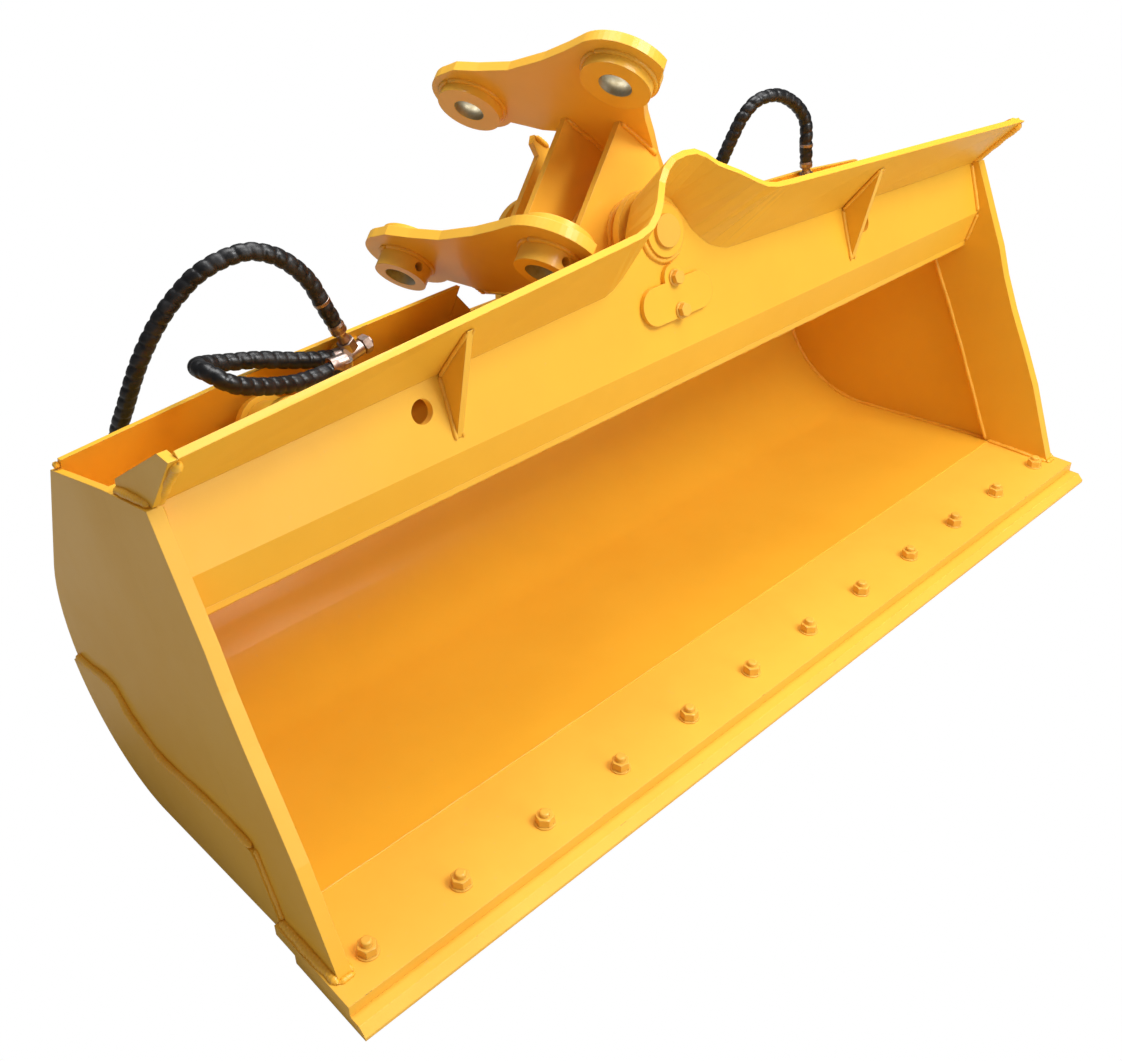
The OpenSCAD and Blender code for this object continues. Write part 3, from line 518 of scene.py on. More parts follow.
# black plastic spiral wrap: satin, with paler scuffs
wrapFinish = {
    "scuffs": (46, 4, 0.6),
    "scuffsRange": (0.45, 0.75),
    "scuffsRough": 0.2,
    "fine": (620, 2, 0.5),
    "colour": (0.006, 0.006, 0.007, 1),
    "scuffed": (0.02, 0.02, 0.022, 1),
    "roughness": 0.34,
    "relief": 0.3,
    "reliefDepth": 0.0003,
}


def wrapMaterial(w):
    material, tree, shader = principled("hoseWrap")
    place = objectPlace(tree)
    scuffs = rampNode(tree, noiseNode(tree, place, *w["scuffs"]), *w["scuffsRange"])
    tree.links.new(mixColour(tree, scuffs, w["colour"], w["scuffed"]), shader.inputs["Base Color"])
    rough = mathNode(tree, "ADD", mathNode(tree, "MULTIPLY", scuffs, w["scuffsRough"]), w["roughness"])
    tree.links.new(rough, shader.inputs["Roughness"])
    relief = bumpNode(tree, noiseNode(tree, place, *w["fine"]), w["relief"], w["reliefDepth"])
    tree.links.new(relief, shader.inputs["Normal"])
    return material


bucketPaint, shellPaint, headPaintWithPaintedLight, edgePaint, boltPaint, weldPaint = (
    paintMaterial(name, **values) for name, values in paints.items())
pinSteel, boreSteel, rodChrome, bushBronze, fittingZinc = (
    metalMaterial(name, **values) for name, values in metals.items())
hoseWrap = wrapMaterial(wrapFinish)

finishes = {
    "shell": shellPaint, "bolt_on_edge": edgePaint, "base_edge": edgePaint, "edge_bolts": boltPaint,
    "edge_nuts": boltPaint, "keeper_bolts": boltPaint, "pivot_pin": boltPaint, "left_base_pin": pinSteel,
    "right_base_pin": pinSteel, "lug_pin_stubs": pinSteel, "hub_bushes": bushBronze, "left_rod": rodChrome,
    "right_rod": rodChrome, "left_gland": pinSteel, "right_gland": pinSteel, "tee_fitting": fittingZinc,
    "loop_elbow": fittingZinc, "left_hose_end": fittingZinc, "right_hose_end": fittingZinc,
    "right_hose_fitting": fittingZinc,
}
# the headstock's parts take the brighter paint, which is painted light
for name in frame["record"]["behaviour"]["bodies"]["headstock"]:
    finishes.setdefault(name, headPaintWithPaintedLight)
for name, obj in nodes.items():
    obj.data.materials.clear()
    obj.data.materials.append(finishes.get(name, bucketPaint))
print("finishes set")

# the frames of the CAD, in millimetres and degrees: the shell's profile, the face and the headstock
bucket = {
    "halfWidth": 890, "innerHalf": 880, "cutterHalf": 870, "cutterFront": 34, "plateTop": 34,
    "plateDepth": 163, "shellThick": 8, "heelRear": 711, "heelRadius": 225, "belly": 3, "rearLean": 27.6,
    "rearEndTop": 550, "fold": (277, 502), "lean": 18.5, "endHigh": 95, "midHigh": 121, "returnLong": 62,
    "returnLean": 14, "pivotHigh": 182, "humpHalf": 140, "lipOut": 108, "endRise": 60, "midRise": 76,
    "lipFoot": 185, "gussetAt": 452, "gussetThick": 10,
}
head = {
    "tilt": 45, "earGap": 272, "earThick": 16, "frontPin": (-20, 190), "rearPin": (285, 223),
    "innerBoss": 106, "innerBossLong": 18, "outerBoss": 84, "outerBossLong": 30, "hub": 100,
    "plates": (60, 147, 244), "plateThick": 12, "plateEnds": ((12, 100), (-48, 135), (84, 116)),
}
lean = math.radians(bucket["lean"])
tilt = math.radians(head["tilt"])
across = np.array([1.0, 0, 0])
upright = np.array([0, 0, 1.0])
faceUp = np.array([0, math.sin(lean), math.cos(lean)])
faceBack = np.array([0, math.cos(lean), -math.sin(lean)])
faceOrigin = np.array([0.0, *bucket["fold"]])


def onFace(x, s, a=0.0):
    # across, up the face from its fold, and back through it
    return faceOrigin + np.array([x, 0, 0]) + s * faceUp + a * faceBack


headAcross = math.cos(tilt) * across + math.sin(tilt) * faceUp
headUp = -math.sin(tilt) * across + math.cos(tilt) * faceUp
pivot = onFace(0, bucket["pivotHigh"])


def onHead(n, b, a):
    # across the ears, up between them, and back along the pivot pin
    return pivot + n * headAcross + b * headUp + a * faceBack


heelY = bucket["heelRear"] - bucket["heelRadius"]
heelZ = bucket["belly"] + bucket["heelRadius"]
floorFall = bucket["plateTop"] - bucket["shellThick"] - bucket["belly"]
floorSlope = math.atan(floorFall / (heelY - bucket["plateDepth"]))
arcStart = math.radians(-90) - floorSlope


def heelArc(radius, end, count):
    # points in Y and Z on the heel's arc, from the floor to an end angle in degrees
    t = np.linspace(arcStart, math.radians(end), count)
    return np.stack([heelY + radius * np.cos(t), heelZ + radius * np.sin(t)], 1)


def wallY(z, radius):
    # the straight rear wall that runs on from the heel's arc of that radius
    rearLean = math.radians(bucket["rearLean"])
    return (heelY + radius * math.cos(rearLean)
            - (z - heelZ - radius * math.sin(rearLean)) * math.tan(rearLean))


inner = bucket["heelRadius"] - bucket["shellThick"]
returnLean = math.radians(bucket["returnLean"])
returnFoot = (bucket["fold"][0] + bucket["returnLong"] * math.sin(returnLean),
              bucket["fold"][1] - bucket["returnLong"] * math.cos(returnLean))


def lipFront(x):
    # the lip's front edge from its end to the foot of the hump: distance before the face, and height
    share = (bucket["cutterHalf"] - x) / (bucket["cutterHalf"] - bucket["lipFoot"])
    low = bucket["endHigh"] + bucket["endRise"]
    return bucket["lipOut"], low + share * (bucket["midHigh"] + bucket["midRise"] - low)


def creaseHigh(x):
    # the crease between face and lip rises evenly from the face's end to the hump
    share = (bucket["cutterHalf"] - x) / (bucket["cutterHalf"] - bucket["humpHalf"])
    return bucket["endHigh"] + share * (bucket["midHigh"] - bucket["endHigh"])


# side pieces: outlines in Y and Z, or for the wall's end in X and Z
wear = {
    "thick": 7,
    "edge": [(640, 165), (588, 175), (562, 174), (546, 162), (530, 147), (508, 137), (470, 124), (440, 119),
             (400, 122), (312, 134), (250, 137), (200, 137), (192, 128), (158, 42)],
    "foot": [(163, 34), (163, 26)],
    "arcEnd": -19,
}
endGusset = {
    "outline": [(293, 598), (224, 683), (248, 685), (384, 598), (388, 579)],
    "inner": 870,
    "outer": 882,
}
wallEnd = {
    "outline": [(231.5, 536), (231.5, 584), (188, 541), (188, 536)],
    "thick": 8,
}


def sidePlate(outline, near, far):
    # a flat plate with the given outline in Y and Z, between two planes across X
    n = len(outline)
    rows = [np.column_stack([np.full(n, x), outline]) for x in sorted((near, far))]
    faces = prismFaces(n)
    y, z = outline.T
    area = np.sum(y * np.roll(z, -1) - z * np.roll(y, -1))
    return np.vstack(rows) * mm, faces if area > 0 else [face[::-1] for face in faces]


def wallPlate(side, w):
    # a plate in the plane of the rear wall: Y follows from Z on its inner and on its outer face
    x, z = np.array(w["outline"], float)[::side].T
    rows = [np.column_stack([side * x, wallY(z, inner + t), z]) for t in (0, w["thick"])]
    return np.vstack(rows) * mm, prismFaces(len(x))


wearArc = heelArc(bucket["heelRadius"], wear["arcEnd"], 40)
wearOutline = np.array([*wearArc, *wear["edge"], *wear["foot"]], float)
gussetOutline = np.array(endGusset["outline"], float)
for side, name in ((-1, "left"), (1, "right")):
    plate = sidePlate(wearOutline, side * bucket["halfWidth"], side * (bucket["halfWidth"] + wear["thick"]))
    dressPiece(name + "WearDressed", [plate], "bucket", bucketPaint, name + "_wear_plate")
dressPiece("endGussetsDressed",
           [sidePlate(gussetOutline, s * endGusset["inner"], s * endGusset["outer"]) for s in (-1, 1)],
           "bucket", bucketPaint, "end_gussets")
# the rear wall's top edge runs on a little beside the headstock, cut on a slope that clears the ear
dressPiece("rearWallEnds", [wallPlate(s, wallEnd) for s in (-1, 1)], "bucket", shellPaint)
print("side pieces set")

# weld beads: rows of overlapping drops along a route, half sunk in the corner; radii in millimetres
welds = {
    "off": 1.5, "panel": 4.5, "beamFloor": 3.5, "cutterFoot": 4.5, "panelFoot": 7.2, "cutterFront": 4.2,
    "cutterBack": 4.2, "faceEnd": 4, "returnEnd": 3.5, "lipEnd": 7.0, "lipCorner": 5, "lipGusset": 3.2,
    "wearTop": 6.2, "wearFront": 3.4, "gussetFoot": 5.5, "wallEnd": 5.5, "baseSeam": 3.4, "baseFlat": 0.5,
    "returnRear": 3, "boss": 5.5, "bossRing": 42, "plateEnd": 4.2, "earBoss": 4.2, "hub": 5,
}
# places in Y and Z: the beam's floor, the back of the side cutter, and the foot of the end gusset
beamBead = [(400, 420), (wallY(415, inner) - 4, 404)]
cutterBack = [(170, 34), (273, 246), (348, 387), (354, 407)]
gussetFoot = [(298, 600), (345, 592), (390, 582)]
# the beads' unevenness: shares of the radius, except waver in radians, and lengths in millimetres
ripples = {
    "drops": (0.09, 6.3),
    "waver": (0.7, 21),
    "fine": (0.07, 5.1),
    "slow": (0.06, 13.7),
    "drift": (0.12, 16.3),
    "taper": 1.2,
    "tip": 0.02,
}
beads = {"bucketWelds": [], "headWelds": []}
beadStep, beadAround = 2.0, 8


def wave(kind, run, turn):
    size, long = ripples[kind]
    return size * np.sin(run / long + turn)


def addBead(group, route, radius, flat=1.0, seed=0):
    # circles of radius * (1 + ripple) * end taper round a route that drifts by a part of the radius,
    # squeezed by flat across the second direction
    points = np.asarray(route, float)
    if len(points) == 2:
        length = np.linalg.norm(points[1] - points[0])
        count = max(4, int(length / beadStep))
        path = points[0] + np.linspace(0, 1, count)[:, None] * (points[1] - points[0])
        run = np.linspace(0, length, count)
    else:
        path, run = smoothRoute(points, beadStep)
    rng = np.random.default_rng(seed + 17 * len(beads[group]))
    phase = rng.uniform(0, 2 * np.pi, 5)
    size, long = ripples["drops"]
    drops = size * np.sin(2 * np.pi * run / long + phase[0] + wave("waver", run, phase[1]))
    ripple = drops + wave("fine", run, phase[2]) + wave("slow", run, phase[3])
    drift = wave("drift", run, phase[4])
    u, w = routeSides(path)
    taper = np.sqrt(np.clip(np.minimum(run, run[-1] - run) / (radius * ripples["taper"]), ripples["tip"], 1))
    r = (radius * (1 + ripple) * taper)[:, None, None]
    angle = np.linspace(0, 2 * np.pi, beadAround, endpoint=False)[None, :, None]
    centre = path + radius * drift[:, None] * u
    rings = centre[:, None] + r * (np.cos(angle) * u[:, None] + flat * np.sin(angle) * w[:, None])
    faces = gridFaces(len(path), beadAround)[:, ::-1]
    pts, faces = closedEnds(rings.reshape(-1, 3), faces, len(path), beadAround)
    beads[group].append((pts * mm, faces))


def addRing(group, centre, u, w, radius, bead, seed=0):
    # a bead once round a circle, through 40 points
    t = np.radians(np.linspace(0, 360, 40))
    addBead(group, centre + radius * (np.cos(t)[:, None] * u + np.sin(t)[:, None] * w), bead, seed=seed)


def sideBeads(side, w):
    # the order of the beads sets their ripples
    def bead(route, radius, seed=0):
        addBead("bucketWelds", route, radius, seed=seed)

    wall = side * (bucket["innerHalf"] - w["off"])
    cutter = side * (bucket["cutterHalf"] - w["off"])
    outside = side * (bucket["halfWidth"] + w["off"])
    front, depth, top = bucket["cutterFront"], bucket["plateDepth"], bucket["plateTop"]
    floor = heelArc(inner, bucket["rearLean"], 26)
    # shell to end panel, inside, and the beam's floor to it, seen from below
    bead([(wall, depth, top)] + [(wall, *p) for p in floor], w["panel"])
    bead([(wall, *p) for p in beamBead], w["beamFloor"])
    # side cutter to base plate, the panel's foot outside, and the cutter's front
    bead([(cutter, front + 3, top + 1.5), (cutter, depth + 3, top + 1.5)], w["cutterFoot"])
    foot = outside + side * w["off"]
    bead([(foot, front, top + 2), (foot, depth, top + 2.5)], w["panelFoot"], seed=3)
    bead([(cutter - side, front, top + 1.5), (outside, front, top + 1.5)], w["cutterFront"])
    # the step between the cutter and the panel, inside
    bead([(cutter + side * w["off"], *p) for p in cutterBack], w["cutterBack"])
    # face and return flange to the cutter
    bead([onFace(cutter, 2, -1.5), onFace(cutter, bucket["endHigh"] - 2, -1.5)], w["faceEnd"])
    foldY, foldZ = bucket["fold"]
    bead([(cutter, foldY - 1.5, foldZ - 2), (cutter, returnFoot[0] - 1.5, returnFoot[1])], w["returnEnd"])
    # the lip's end to the gusset outside it: a coarse bead along the lip's underside, and one in the corner
    out, high = lipFront(bucket["cutterHalf"])
    x = side * (bucket["cutterHalf"] + 1)
    bead([onFace(x, bucket["endHigh"] + 3, -4), onFace(x, (bucket["endHigh"] + high) / 2, -out / 2 - 2),
          onFace(x, high - 4, -out + 2)], w["lipEnd"], seed=5)
    x = side * (bucket["cutterHalf"] + 5)
    bead([onFace(x, bucket["endHigh"] - 3, -14), onFace(x, bucket["endHigh"] + 5, -12)], w["lipCorner"])
    # gussets of the lip: to the face and to the lip, on both sides
    out, high = lipFront(bucket["gussetAt"])
    crease = creaseHigh(bucket["gussetAt"])
    for flank in (-1, 1):
        x = side * bucket["gussetAt"] + flank * (bucket["gussetThick"] / 2 + 1)
        bead([onFace(x, crease * 0.16, -1.2), onFace(x, crease - 3, -1.2)], w["lipGusset"])
        bead([onFace(x, crease - 3, -2), onFace(x, crease + 0.8 * (high - crease) - 3, -0.8 * out)],
             w["lipGusset"])
    # heel wear plate: the bead along its upper edge, from the rear, and down its front
    upper = [(690, 159)] + wear["edge"][:-2]
    bead([(outside + side * w["off"], y, z + 5) for y, z in upper], w["wearTop"], seed=7)
    bead([(outside, y - 2, z) for y, z in wear["edge"][-3:]], w["wearFront"], seed=8)
    # foot of the end gusset on the panel's top edge, and the rear wall's end over the panel's corner
    bead([(side * (endGusset["outer"] + 1), *p) for p in gussetFoot], w["gussetFoot"], seed=6)
    bead([(side * (bucket["innerHalf"] + 4), wallY(z, inner + 4), z)
          for z in (bucket["rearEndTop"] - 14, bucket["rearEndTop"] - 3)], w["wallEnd"])


for side in (-1, 1):
    sideBeads(side, welds)

# shell to base plate, a low ground seam, and return flange to the beam's floor, below the fold
reach = bucket["cutterHalf"] - 2
addBead("bucketWelds", [(x, bucket["plateDepth"] + 1, bucket["plateTop"] - 0.6) for x in (-reach, reach)],
        welds["baseSeam"], welds["baseFlat"])
addBead("bucketWelds", [(x, returnFoot[0] + 6, returnFoot[1] - 12) for x in (-reach, reach)],
        welds["returnRear"])
# boss of the pivot pin in the face
boss = onFace(0, bucket["pivotHigh"], -1)
addRing("bucketWelds", boss, across, faceUp, welds["bossRing"], welds["boss"], 9)

# headstock: cross plates to the ears, bosses to the ears, hub to the plates
innerRing, outerRing = head["innerBoss"] / 2 + 1, head["outerBoss"] / 2 + 1
for side in (-1, 1):
    n = side * (head["earGap"] / 2 - 1)
    for a, (low, high) in zip(head["plates"], head["plateEnds"]):
        for at in (a - 1.2, a + head["plateThick"] + 1.2):
            addBead("headWelds", [onHead(n, b, at) for b in (low, (low + high) / 2, high)], welds["plateEnd"],
                    seed=a)
    for k, (a, b) in enumerate((head["frontPin"], head["rearPin"])):
        addRing("headWelds", onHead(n, b, a), headUp, faceBack, innerRing, welds["earBoss"], k)
        if side < 0:
            outside = onHead(-head["earGap"] / 2 - head["earThick"] - 1, b, a)
            addRing("headWelds", outside, headUp, faceBack, outerRing, welds["earBoss"], k + 4)
first, middle, rear = head["plates"]
for a in (first - 1.5, middle - 1.5, middle + head["plateThick"] + 1.5, rear - 1.5):
    addRing("headWelds", onHead(0, 0, a), headAcross, headUp, head["hub"] / 2 + 1.5, welds["hub"], int(a))

for name, body in (("bucketWelds", "bucket"), ("headWelds", "headstock")):
    dressPiece(name, beads[name], body, weldPaint, smooth=True)
    print(name, "beads:", len(beads[name]))


# turned and hexagonal solids, and where they go

def turnedSolid(profile, columns):
    # circles of the profile's radii at its heights, from the lowest to the highest, both ends closed
    t = np.linspace(0, 2 * np.pi, columns, endpoint=False)
    rows = [np.stack([r * np.cos(t), r * np.sin(t), np.full(columns, z)], 1) for r, z in profile]
    return closedEnds(np.vstack(rows), gridFaces(len(rows), columns), len(rows), columns)


def hexSolid(flats, low, high, columns=72):
    # hexagon with its corners turned off: the ends slope by a share of how far a corner passes the circle
    t = np.linspace(0, 2 * np.pi, columns, endpoint=False)
    corner = flats / 2 / np.cos((t + np.pi / 6) % (np.pi / 3) - np.pi / 6)
    limit = flats / 2 * 0.97
    over = np.maximum(corner - limit, 0)
    circle = np.minimum(corner, limit)
    flat = np.zeros(columns)
    rings = ((circle, low + flat), (corner, low + 0.4 * over),
             (corner, high - 0.55 * over), (circle, high + flat))
    rows = [np.stack([r * np.cos(t), r * np.sin(t), z], 1) for r, z in rings]
    return closedEnds(np.vstack(rows), gridFaces(4, columns), 4, columns)


def placed(solids, origin, ex, ey, ez):
    # each solid's own x, y and z laid along three directions from an origin
    axes = np.array([ex, ey, ez], float)
    return [((np.asarray(origin, float) + p @ axes) * mm, f) for p, f in solids]


# fasteners: nuts with washers on the edge bolts, the bolts' ends, and the keeper's bolts
fasteners = {
    "count": 12, "outermost": 838.2, "row": 48, "bolt": 16, "endOut": 8.5, "across": 24.0, "high": 12.8,
    "washer": 31.0, "washerThick": 2.2, "bevel": (0.6, 0.5),
}
keeper = {
    "places": (60, 111), "out": 8, "across": 19, "nut": (3, 11.5),
    "washer": [(13, -0.2), (13, 2.2), (12.2, 3)],
    "shank": [(6, -30), (6, 2)],
}
nutParts = []
endParts = []
for i, x in enumerate(np.linspace(-fasteners["outermost"], fasteners["outermost"], fasteners["count"])):
    turn = 0.35 + 1.7 * math.sin(2.3 * i)  # each nut was tightened to another angle
    where = ((x, fasteners["row"], bucket["plateTop"]), [math.cos(turn), math.sin(turn), 0],
             [-math.sin(turn), math.cos(turn), 0], upright)
    r, t = fasteners["washer"] / 2, fasteners["washerThick"]
    inset, fall = fasteners["bevel"]
    nutParts += placed([turnedSolid([(r, 0), (r, t - fall), (r - inset, t)], 48),
                        hexSolid(fasteners["across"], t, t + fasteners["high"])], *where)
    r, top = fasteners["bolt"] / 2 - 0.3, t + fasteners["high"] + fasteners["endOut"] - (i % 3)
    bolt = [(r, 10), (r, top - 2.2), (r - 0.8, top - 0.8), (r - 2.4, top)]
    endParts += placed([turnedSolid(bolt, 32)], *where)
dressPiece("edgeNutsDressed", nutParts, "bucket", boltPaint, "edge_nuts")
dressPiece("edgeBoltEnds", endParts, "bucket", boltPaint)

keeperParts = []
for s in keeper["places"]:
    turn = 0.5 + s * 0.02
    ex = math.cos(turn) * across + math.sin(turn) * faceUp
    ey = -math.sin(turn) * across + math.cos(turn) * faceUp
    keeperParts += placed([turnedSolid(keeper["washer"], 48), hexSolid(keeper["across"], *keeper["nut"]),
                           turnedSolid(keeper["shank"], 24)], onFace(0, s, -keeper["out"]), ey, ex, -faceBack)
dressPiece("keeperBoltsDressed", keeperParts, "bucket", boltPaint, "keeper_bolts")

# ear bores: bare, greased steel linings inside the painted bosses
lining = {
    "outer": 25.3,
    "inner": 24.6,
    "short": 0.6,
    "around": 64,
}


def boreLining(start, end, pin, b):
    # a tube between two places across the ears: outer and inner circle at each end, joined all round
    t = np.linspace(0, 2 * np.pi, b["around"], endpoint=False)
    circle = np.cos(t)[:, None] * headUp + np.sin(t)[:, None] * faceBack
    corners = ((start, b["outer"]), (start, b["inner"]), (end, b["inner"]), (end, b["outer"]))
    rings = np.vstack([onHead(n, pin[1], pin[0]) + r * circle for n, r in corners])
    i, k = np.meshgrid(np.arange(4) * b["around"], np.arange(b["around"]), indexing="ij")
    after, nextRing = (k + 1) % b["around"], (i + b["around"]) % (4 * b["around"])
    return rings * mm, np.stack([i + k, nextRing + k, nextRing + after, i + after], -1).reshape(-1, 4)


ear, short = head["earGap"] / 2, lining["short"]
spans = ((-ear - head["earThick"] - head["outerBossLong"] + short, -ear + head["innerBossLong"] - short),
         (ear - head["innerBossLong"] + short, ear + head["earThick"] - short))
linings = [boreLining(*span, pin, lining) for span in spans for pin in (head["frontPin"], head["rearPin"])]
dressPiece("boreLinings", linings, "headstock", boreSteel, smooth=True)
print("fasteners and bores set")

# hoses: routes in millimetres, the wrap and its steps in metres
hose = {
    "diameter": 0.025,
    "wrapPitch": 0.0175,
    "wrapDepth": 0.0024,
    "ridgeWide": 1.35,
    "ridgeSharp": 0.6,
    "endTaper": 0.012,
    "around": 28,
    "step": 0.0023,
}
leftRoute = [
    (-468, 529.5, 615), (-479, 530, 640), (-487, 531, 659), (-497, 533, 684), (-511, 535, 705),
    (-529, 538, 724), (-549, 542, 738), (-579, 548, 748), (-615, 558, 743), (-647, 568, 729),
    (-668, 578, 710), (-688, 588, 688), (-708, 600, 658), (-726, 612, 624), (-739, 624, 591),
    (-751, 640, 551), (-760, 660, 512), (-765, 682, 465), (-767, 698, 420), (-769, 713, 370),
    (-770, 725, 310), (-770, 731, 250), (-770, 733, 190), (-768, 735, 130), (-760, 739, 80),
    (-740, 750, 44), (-706, 766, 28), (-660, 778, 26), (-610, 785, 26), (-560, 785, 26)]
loopRoute = [
    (-478, 529, 569), (-505, 530, 573), (-542, 535, 583), (-590, 542, 598), (-634, 549, 607),
    (-665, 546, 616), (-686, 531, 625), (-694, 509, 631), (-692, 489, 631), (-682, 474, 622),
    (-665, 468, 611), (-627, 470, 595), (-577, 478, 579), (-535, 484, 573), (-500, 488, 572)]
rightRoute = [
    (652, 534.5, 600), (650, 535, 618), (649, 537, 637), (652, 541, 661), (650, 548, 685),
    (626, 556, 713), (585, 566, 734), (541, 578, 731), (514, 588, 706), (500, 597, 673),
    (492, 607, 640), (489, 622, 600), (489, 640, 560), (489, 660, 516), (490, 682, 470),
    (490, 699, 420), (490, 713, 370), (492, 725, 310), (494, 731, 250), (496, 734, 180),
    (500, 737, 120), (512, 742, 74), (538, 754, 44), (578, 766, 28), (626, 775, 26),
    (680, 778, 26), (730, 778, 26)]


def makeHose(name, route, h, blended=None):
    # radius r - depth * (1 - ridge(phase)), where phase winds once round for each pitch along the hose
    path, run = smoothRoute(np.array(route) * mm, h["step"])
    u, w = routeSides(path)
    angle = np.linspace(0, 2 * np.pi, h["around"], endpoint=False)
    phase = (run[:, None] / h["wrapPitch"] - angle[None] / (2 * np.pi)) % 1
    ridge = np.clip(np.sin(np.pi * phase) * h["ridgeWide"], 0, 1) ** h["ridgeSharp"]
    ends = np.clip(np.minimum(run, run[-1] - run) / h["endTaper"], 0, 1)[:, None]
    radius = h["diameter"] / 2 - h["wrapDepth"] * (1 - ridge * ends)
    outward = np.cos(angle)[None, :, None] * u[:, None] + np.sin(angle)[None, :, None] * w[:, None]
    points = (path[:, None] + radius[..., None] * outward).reshape(-1, 3)
    points, faces = closedEnds(points, gridFaces(len(path), h["around"])[:, ::-1], len(path), h["around"])
    obj = meshPiece(name + "Wrap", points, faces, None if blended else "bucket", hoseWrap)
    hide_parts(name)
    if blended:
        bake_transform(obj)
    print(name, "length", round(float(run[-1]), 3))


makeHose("left_hose", leftRoute, hose)
makeHose("right_hose", rightRoute, hose)
makeHose("loop_hose", loopRoute, hose,
         ("bucket", "left_cylinder", (-0.58, 0.524, 0.59), (-0.58, 0.499, 0.59)))

# fittings, each from a start to an end in millimetres; profiles are radius and height
fittings = {
    "tee": ((-456, 529, 562), (-415, 529, 572)),
    "branch": ((-449, 529, 571), (-468, 529.5, 615)),
    "band": ((-484, 530.6, 652), (-486.4, 530.8, 657.5)),
    "loop": ((-450, 528.5, 566), (-480, 529, 569.5)),
    "right": ((658, 534, 566), (652, 534.5, 600)),
    "rightBand": ((649, 535.6, 630), (649, 536, 636)),
    "rightFoot": ((661, 534, 554), (659, 534, 558)),
}
teeBody = [(9, -3), (11.3, -1), (11.3, 27), (9.5, 29), (9.5, 30)]
teePlug = [(8.5, 40), (8.5, 44), (7, 45.5)]
loopCollar = [(10, 17), (11, 19), (11, 31)]
rightCollar = [(11, 0), (11, 14)]


def alongRoute(start, end):
    # origin and axes of a fitting that runs from start to end, and how long it is
    start, end = np.array(start, float), np.array(end, float)
    long = float(np.linalg.norm(end - start))
    ez = (end - start) / long
    ex = np.cross(ez, [0.2, 1.0, 0.1])
    ex /= np.linalg.norm(ex)
    return (start, ex, np.cross(ez, ex), ez), long


def hoseEndParts(start, end):
    # from the fitting outward to the hose: hexagon nut, tapered neck and a crimped band over the hose's end
    where, long = alongRoute(start, end)
    nut = 0.36 * long
    neck = [(8.5, nut - 1), (9.8, nut + 1), (7.6, nut + 0.2 * long), (7.6, 0.7 * long), (11.6, 0.72 * long),
            (12.3, 0.76 * long), (12.0, 0.88 * long), (12.4, long - 1), (11.0, long + 3)]
    return placed([hexSolid(24, 0, nut), turnedSolid(neck, 40)], *where)


def bandParts(start, end):
    # a thin metal band round the hose
    where, long = alongRoute(start, end)
    return placed([turnedSolid([(11.5, 0), (12.9, 0.6), (12.9, long - 0.6), (11.5, long)], 40)], *where)


teeParts = placed([turnedSolid(teeBody, 40), hexSolid(25, 29, 41), turnedSolid(teePlug, 32)],
                  *alongRoute(*fittings["tee"])[0])
teeParts += hoseEndParts(*fittings["branch"]) + bandParts(*fittings["band"])
teeParts += placed([hexSolid(23, 4, 18), turnedSolid(loopCollar, 32)], *alongRoute(*fittings["loop"])[0])
dressPiece("teeDressed", teeParts, "bucket", fittingZinc, "tee_fitting")
rightParts = hoseEndParts(*fittings["right"]) + bandParts(*fittings["rightBand"])
rightParts += placed([turnedSolid(rightCollar, 32)], *alongRoute(*fittings["rightFoot"])[0])
dressPiece("rightFittingDressed", rightParts, "bucket", fittingZinc, "right_hose_fitting")
print("hoses and fittings set")

# studio: a floor and a world that the camera sees as plain white, and soft lights
studio = {
    "floorSize": 14.0,
    "floorColour": (0.45, 0.45, 0.45),
    "floorRoughness": 0.9,
    "worldColour": (1.0, 1.0, 1.0),
    "worldStrength": 0.34,
    "reflectedLess": -0.22,
}
lights = {
    "keyLight": {"place": (0.8, -1.9, 3.4), "target": (0, 0.3, 0.3), "size": 1.6, "power": 118},
    "topLight": {"place": (0.2, 0.9, 3.4), "target": (0, 0.4, 0.4), "size": 2.0, "power": 86},
    "frontLight": {"place": (0.5, -3.4, 1.0), "target": (0, 0.3, 0.3), "size": 1.6, "power": 31},
}


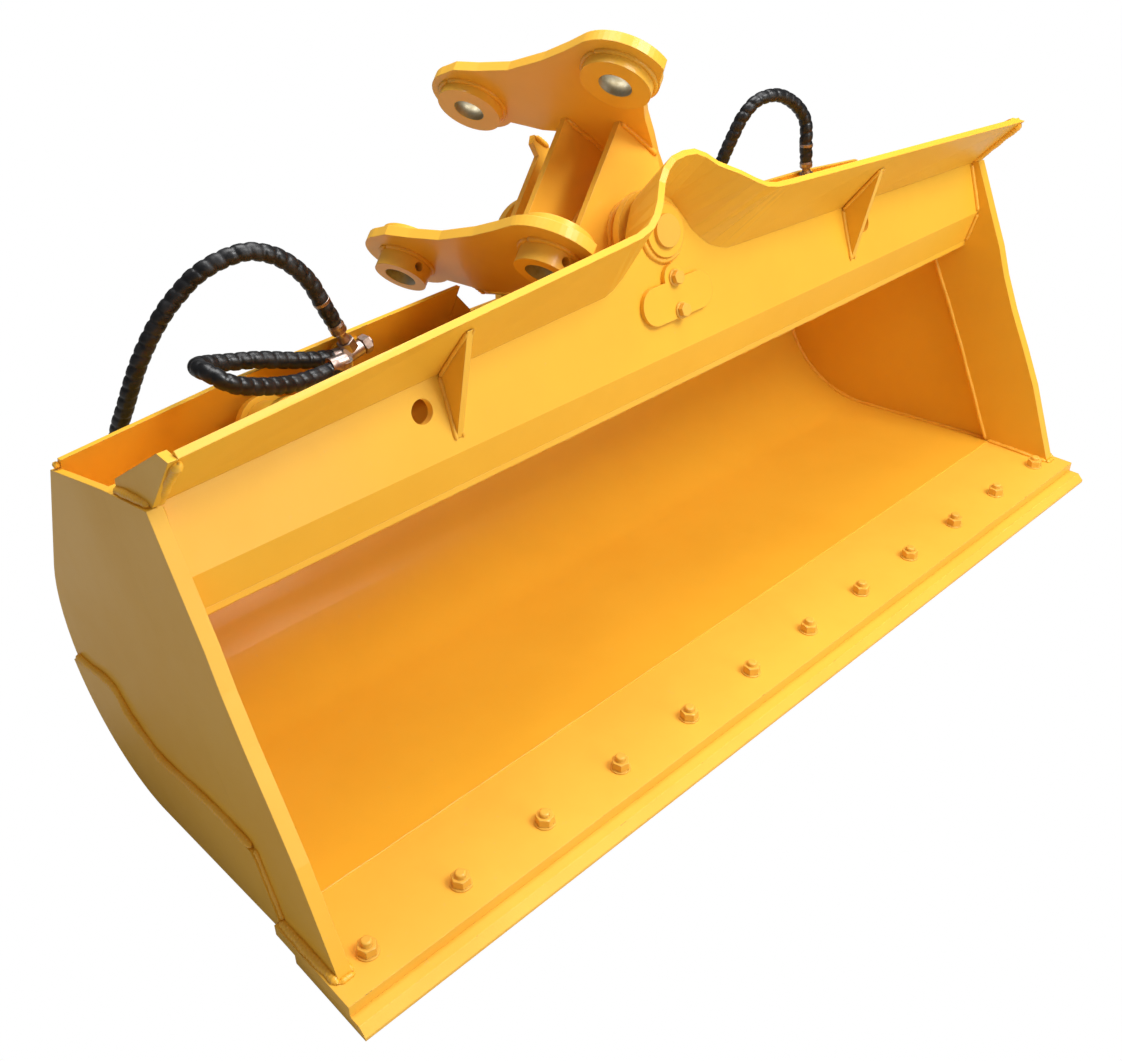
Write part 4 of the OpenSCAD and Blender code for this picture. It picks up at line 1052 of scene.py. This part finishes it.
def areaLight(name, place, target, size, power):
    data = bpy.data.lights.new(name, "AREA")
    data.size = size
    data.energy = power
    obj = bpy.data.objects.new(name, data)
    scene.collection.objects.link(obj)
    obj.location = place
    obj.rotation_euler = (Vector(target) - Vector(place)).to_track_quat("-Z", "Y").to_euler()


def seenWhite(tree, shader, white, output):
    # white for the camera, the given shader for every other ray
    white.inputs["Color"].default_value = (1, 1, 1, 1)
    white.inputs["Strength"].default_value = 1.0
    mix = tree.nodes.new("ShaderNodeMixShader")
    tree.links.new(tree.nodes.new("ShaderNodeLightPath").outputs["Is Camera Ray"], mix.inputs["Fac"])
    tree.links.new(shader.outputs[0], mix.inputs[1])
    tree.links.new(white.outputs[0], mix.inputs[2])
    tree.links.new(mix.outputs[0], output.inputs["Surface"])


def makeFloor(s):
    half = s["floorSize"] / 2
    mesh = bpy.data.meshes.new("floor")
    mesh.from_pydata([(-half, -half, 0), (half, -half, 0), (half, half, 0), (-half, half, 0)], [],
                     [(0, 1, 2, 3)])
    floor = bpy.data.objects.new("floor", mesh)
    scene.collection.objects.link(floor)
    material, tree, shader = principled("paleFloor")
    shader.inputs["Base Color"].default_value = (*s["floorColour"], 1)
    shader.inputs["Roughness"].default_value = s["floorRoughness"]
    seenWhite(tree, shader, tree.nodes.new("ShaderNodeEmission"), tree.nodes["Material Output"])
    mesh.materials.append(material)


def makeWorld(s):
    # a little darker in reflections than as light
    world = bpy.data.worlds.new("studioWorld")
    world.use_nodes = True
    tree = world.node_tree
    sky = tree.nodes["Background"]
    sky.inputs["Color"].default_value = (*s["worldColour"], 1)
    reflected = tree.nodes.new("ShaderNodeLightPath").outputs["Is Glossy Ray"]
    less = mathNode(tree, "MULTIPLY", reflected, s["reflectedLess"])
    tree.links.new(mathNode(tree, "ADD", less, s["worldStrength"]), sky.inputs["Strength"])
    seenWhite(tree, sky, tree.nodes.new("ShaderNodeBackground"), tree.nodes["World Output"])
    scene.world = world


makeFloor(studio)
makeWorld(studio)
scene.view_settings.view_transform = "Standard"
for name, values in lights.items():
    areaLight(name, **values)
print("studio set")
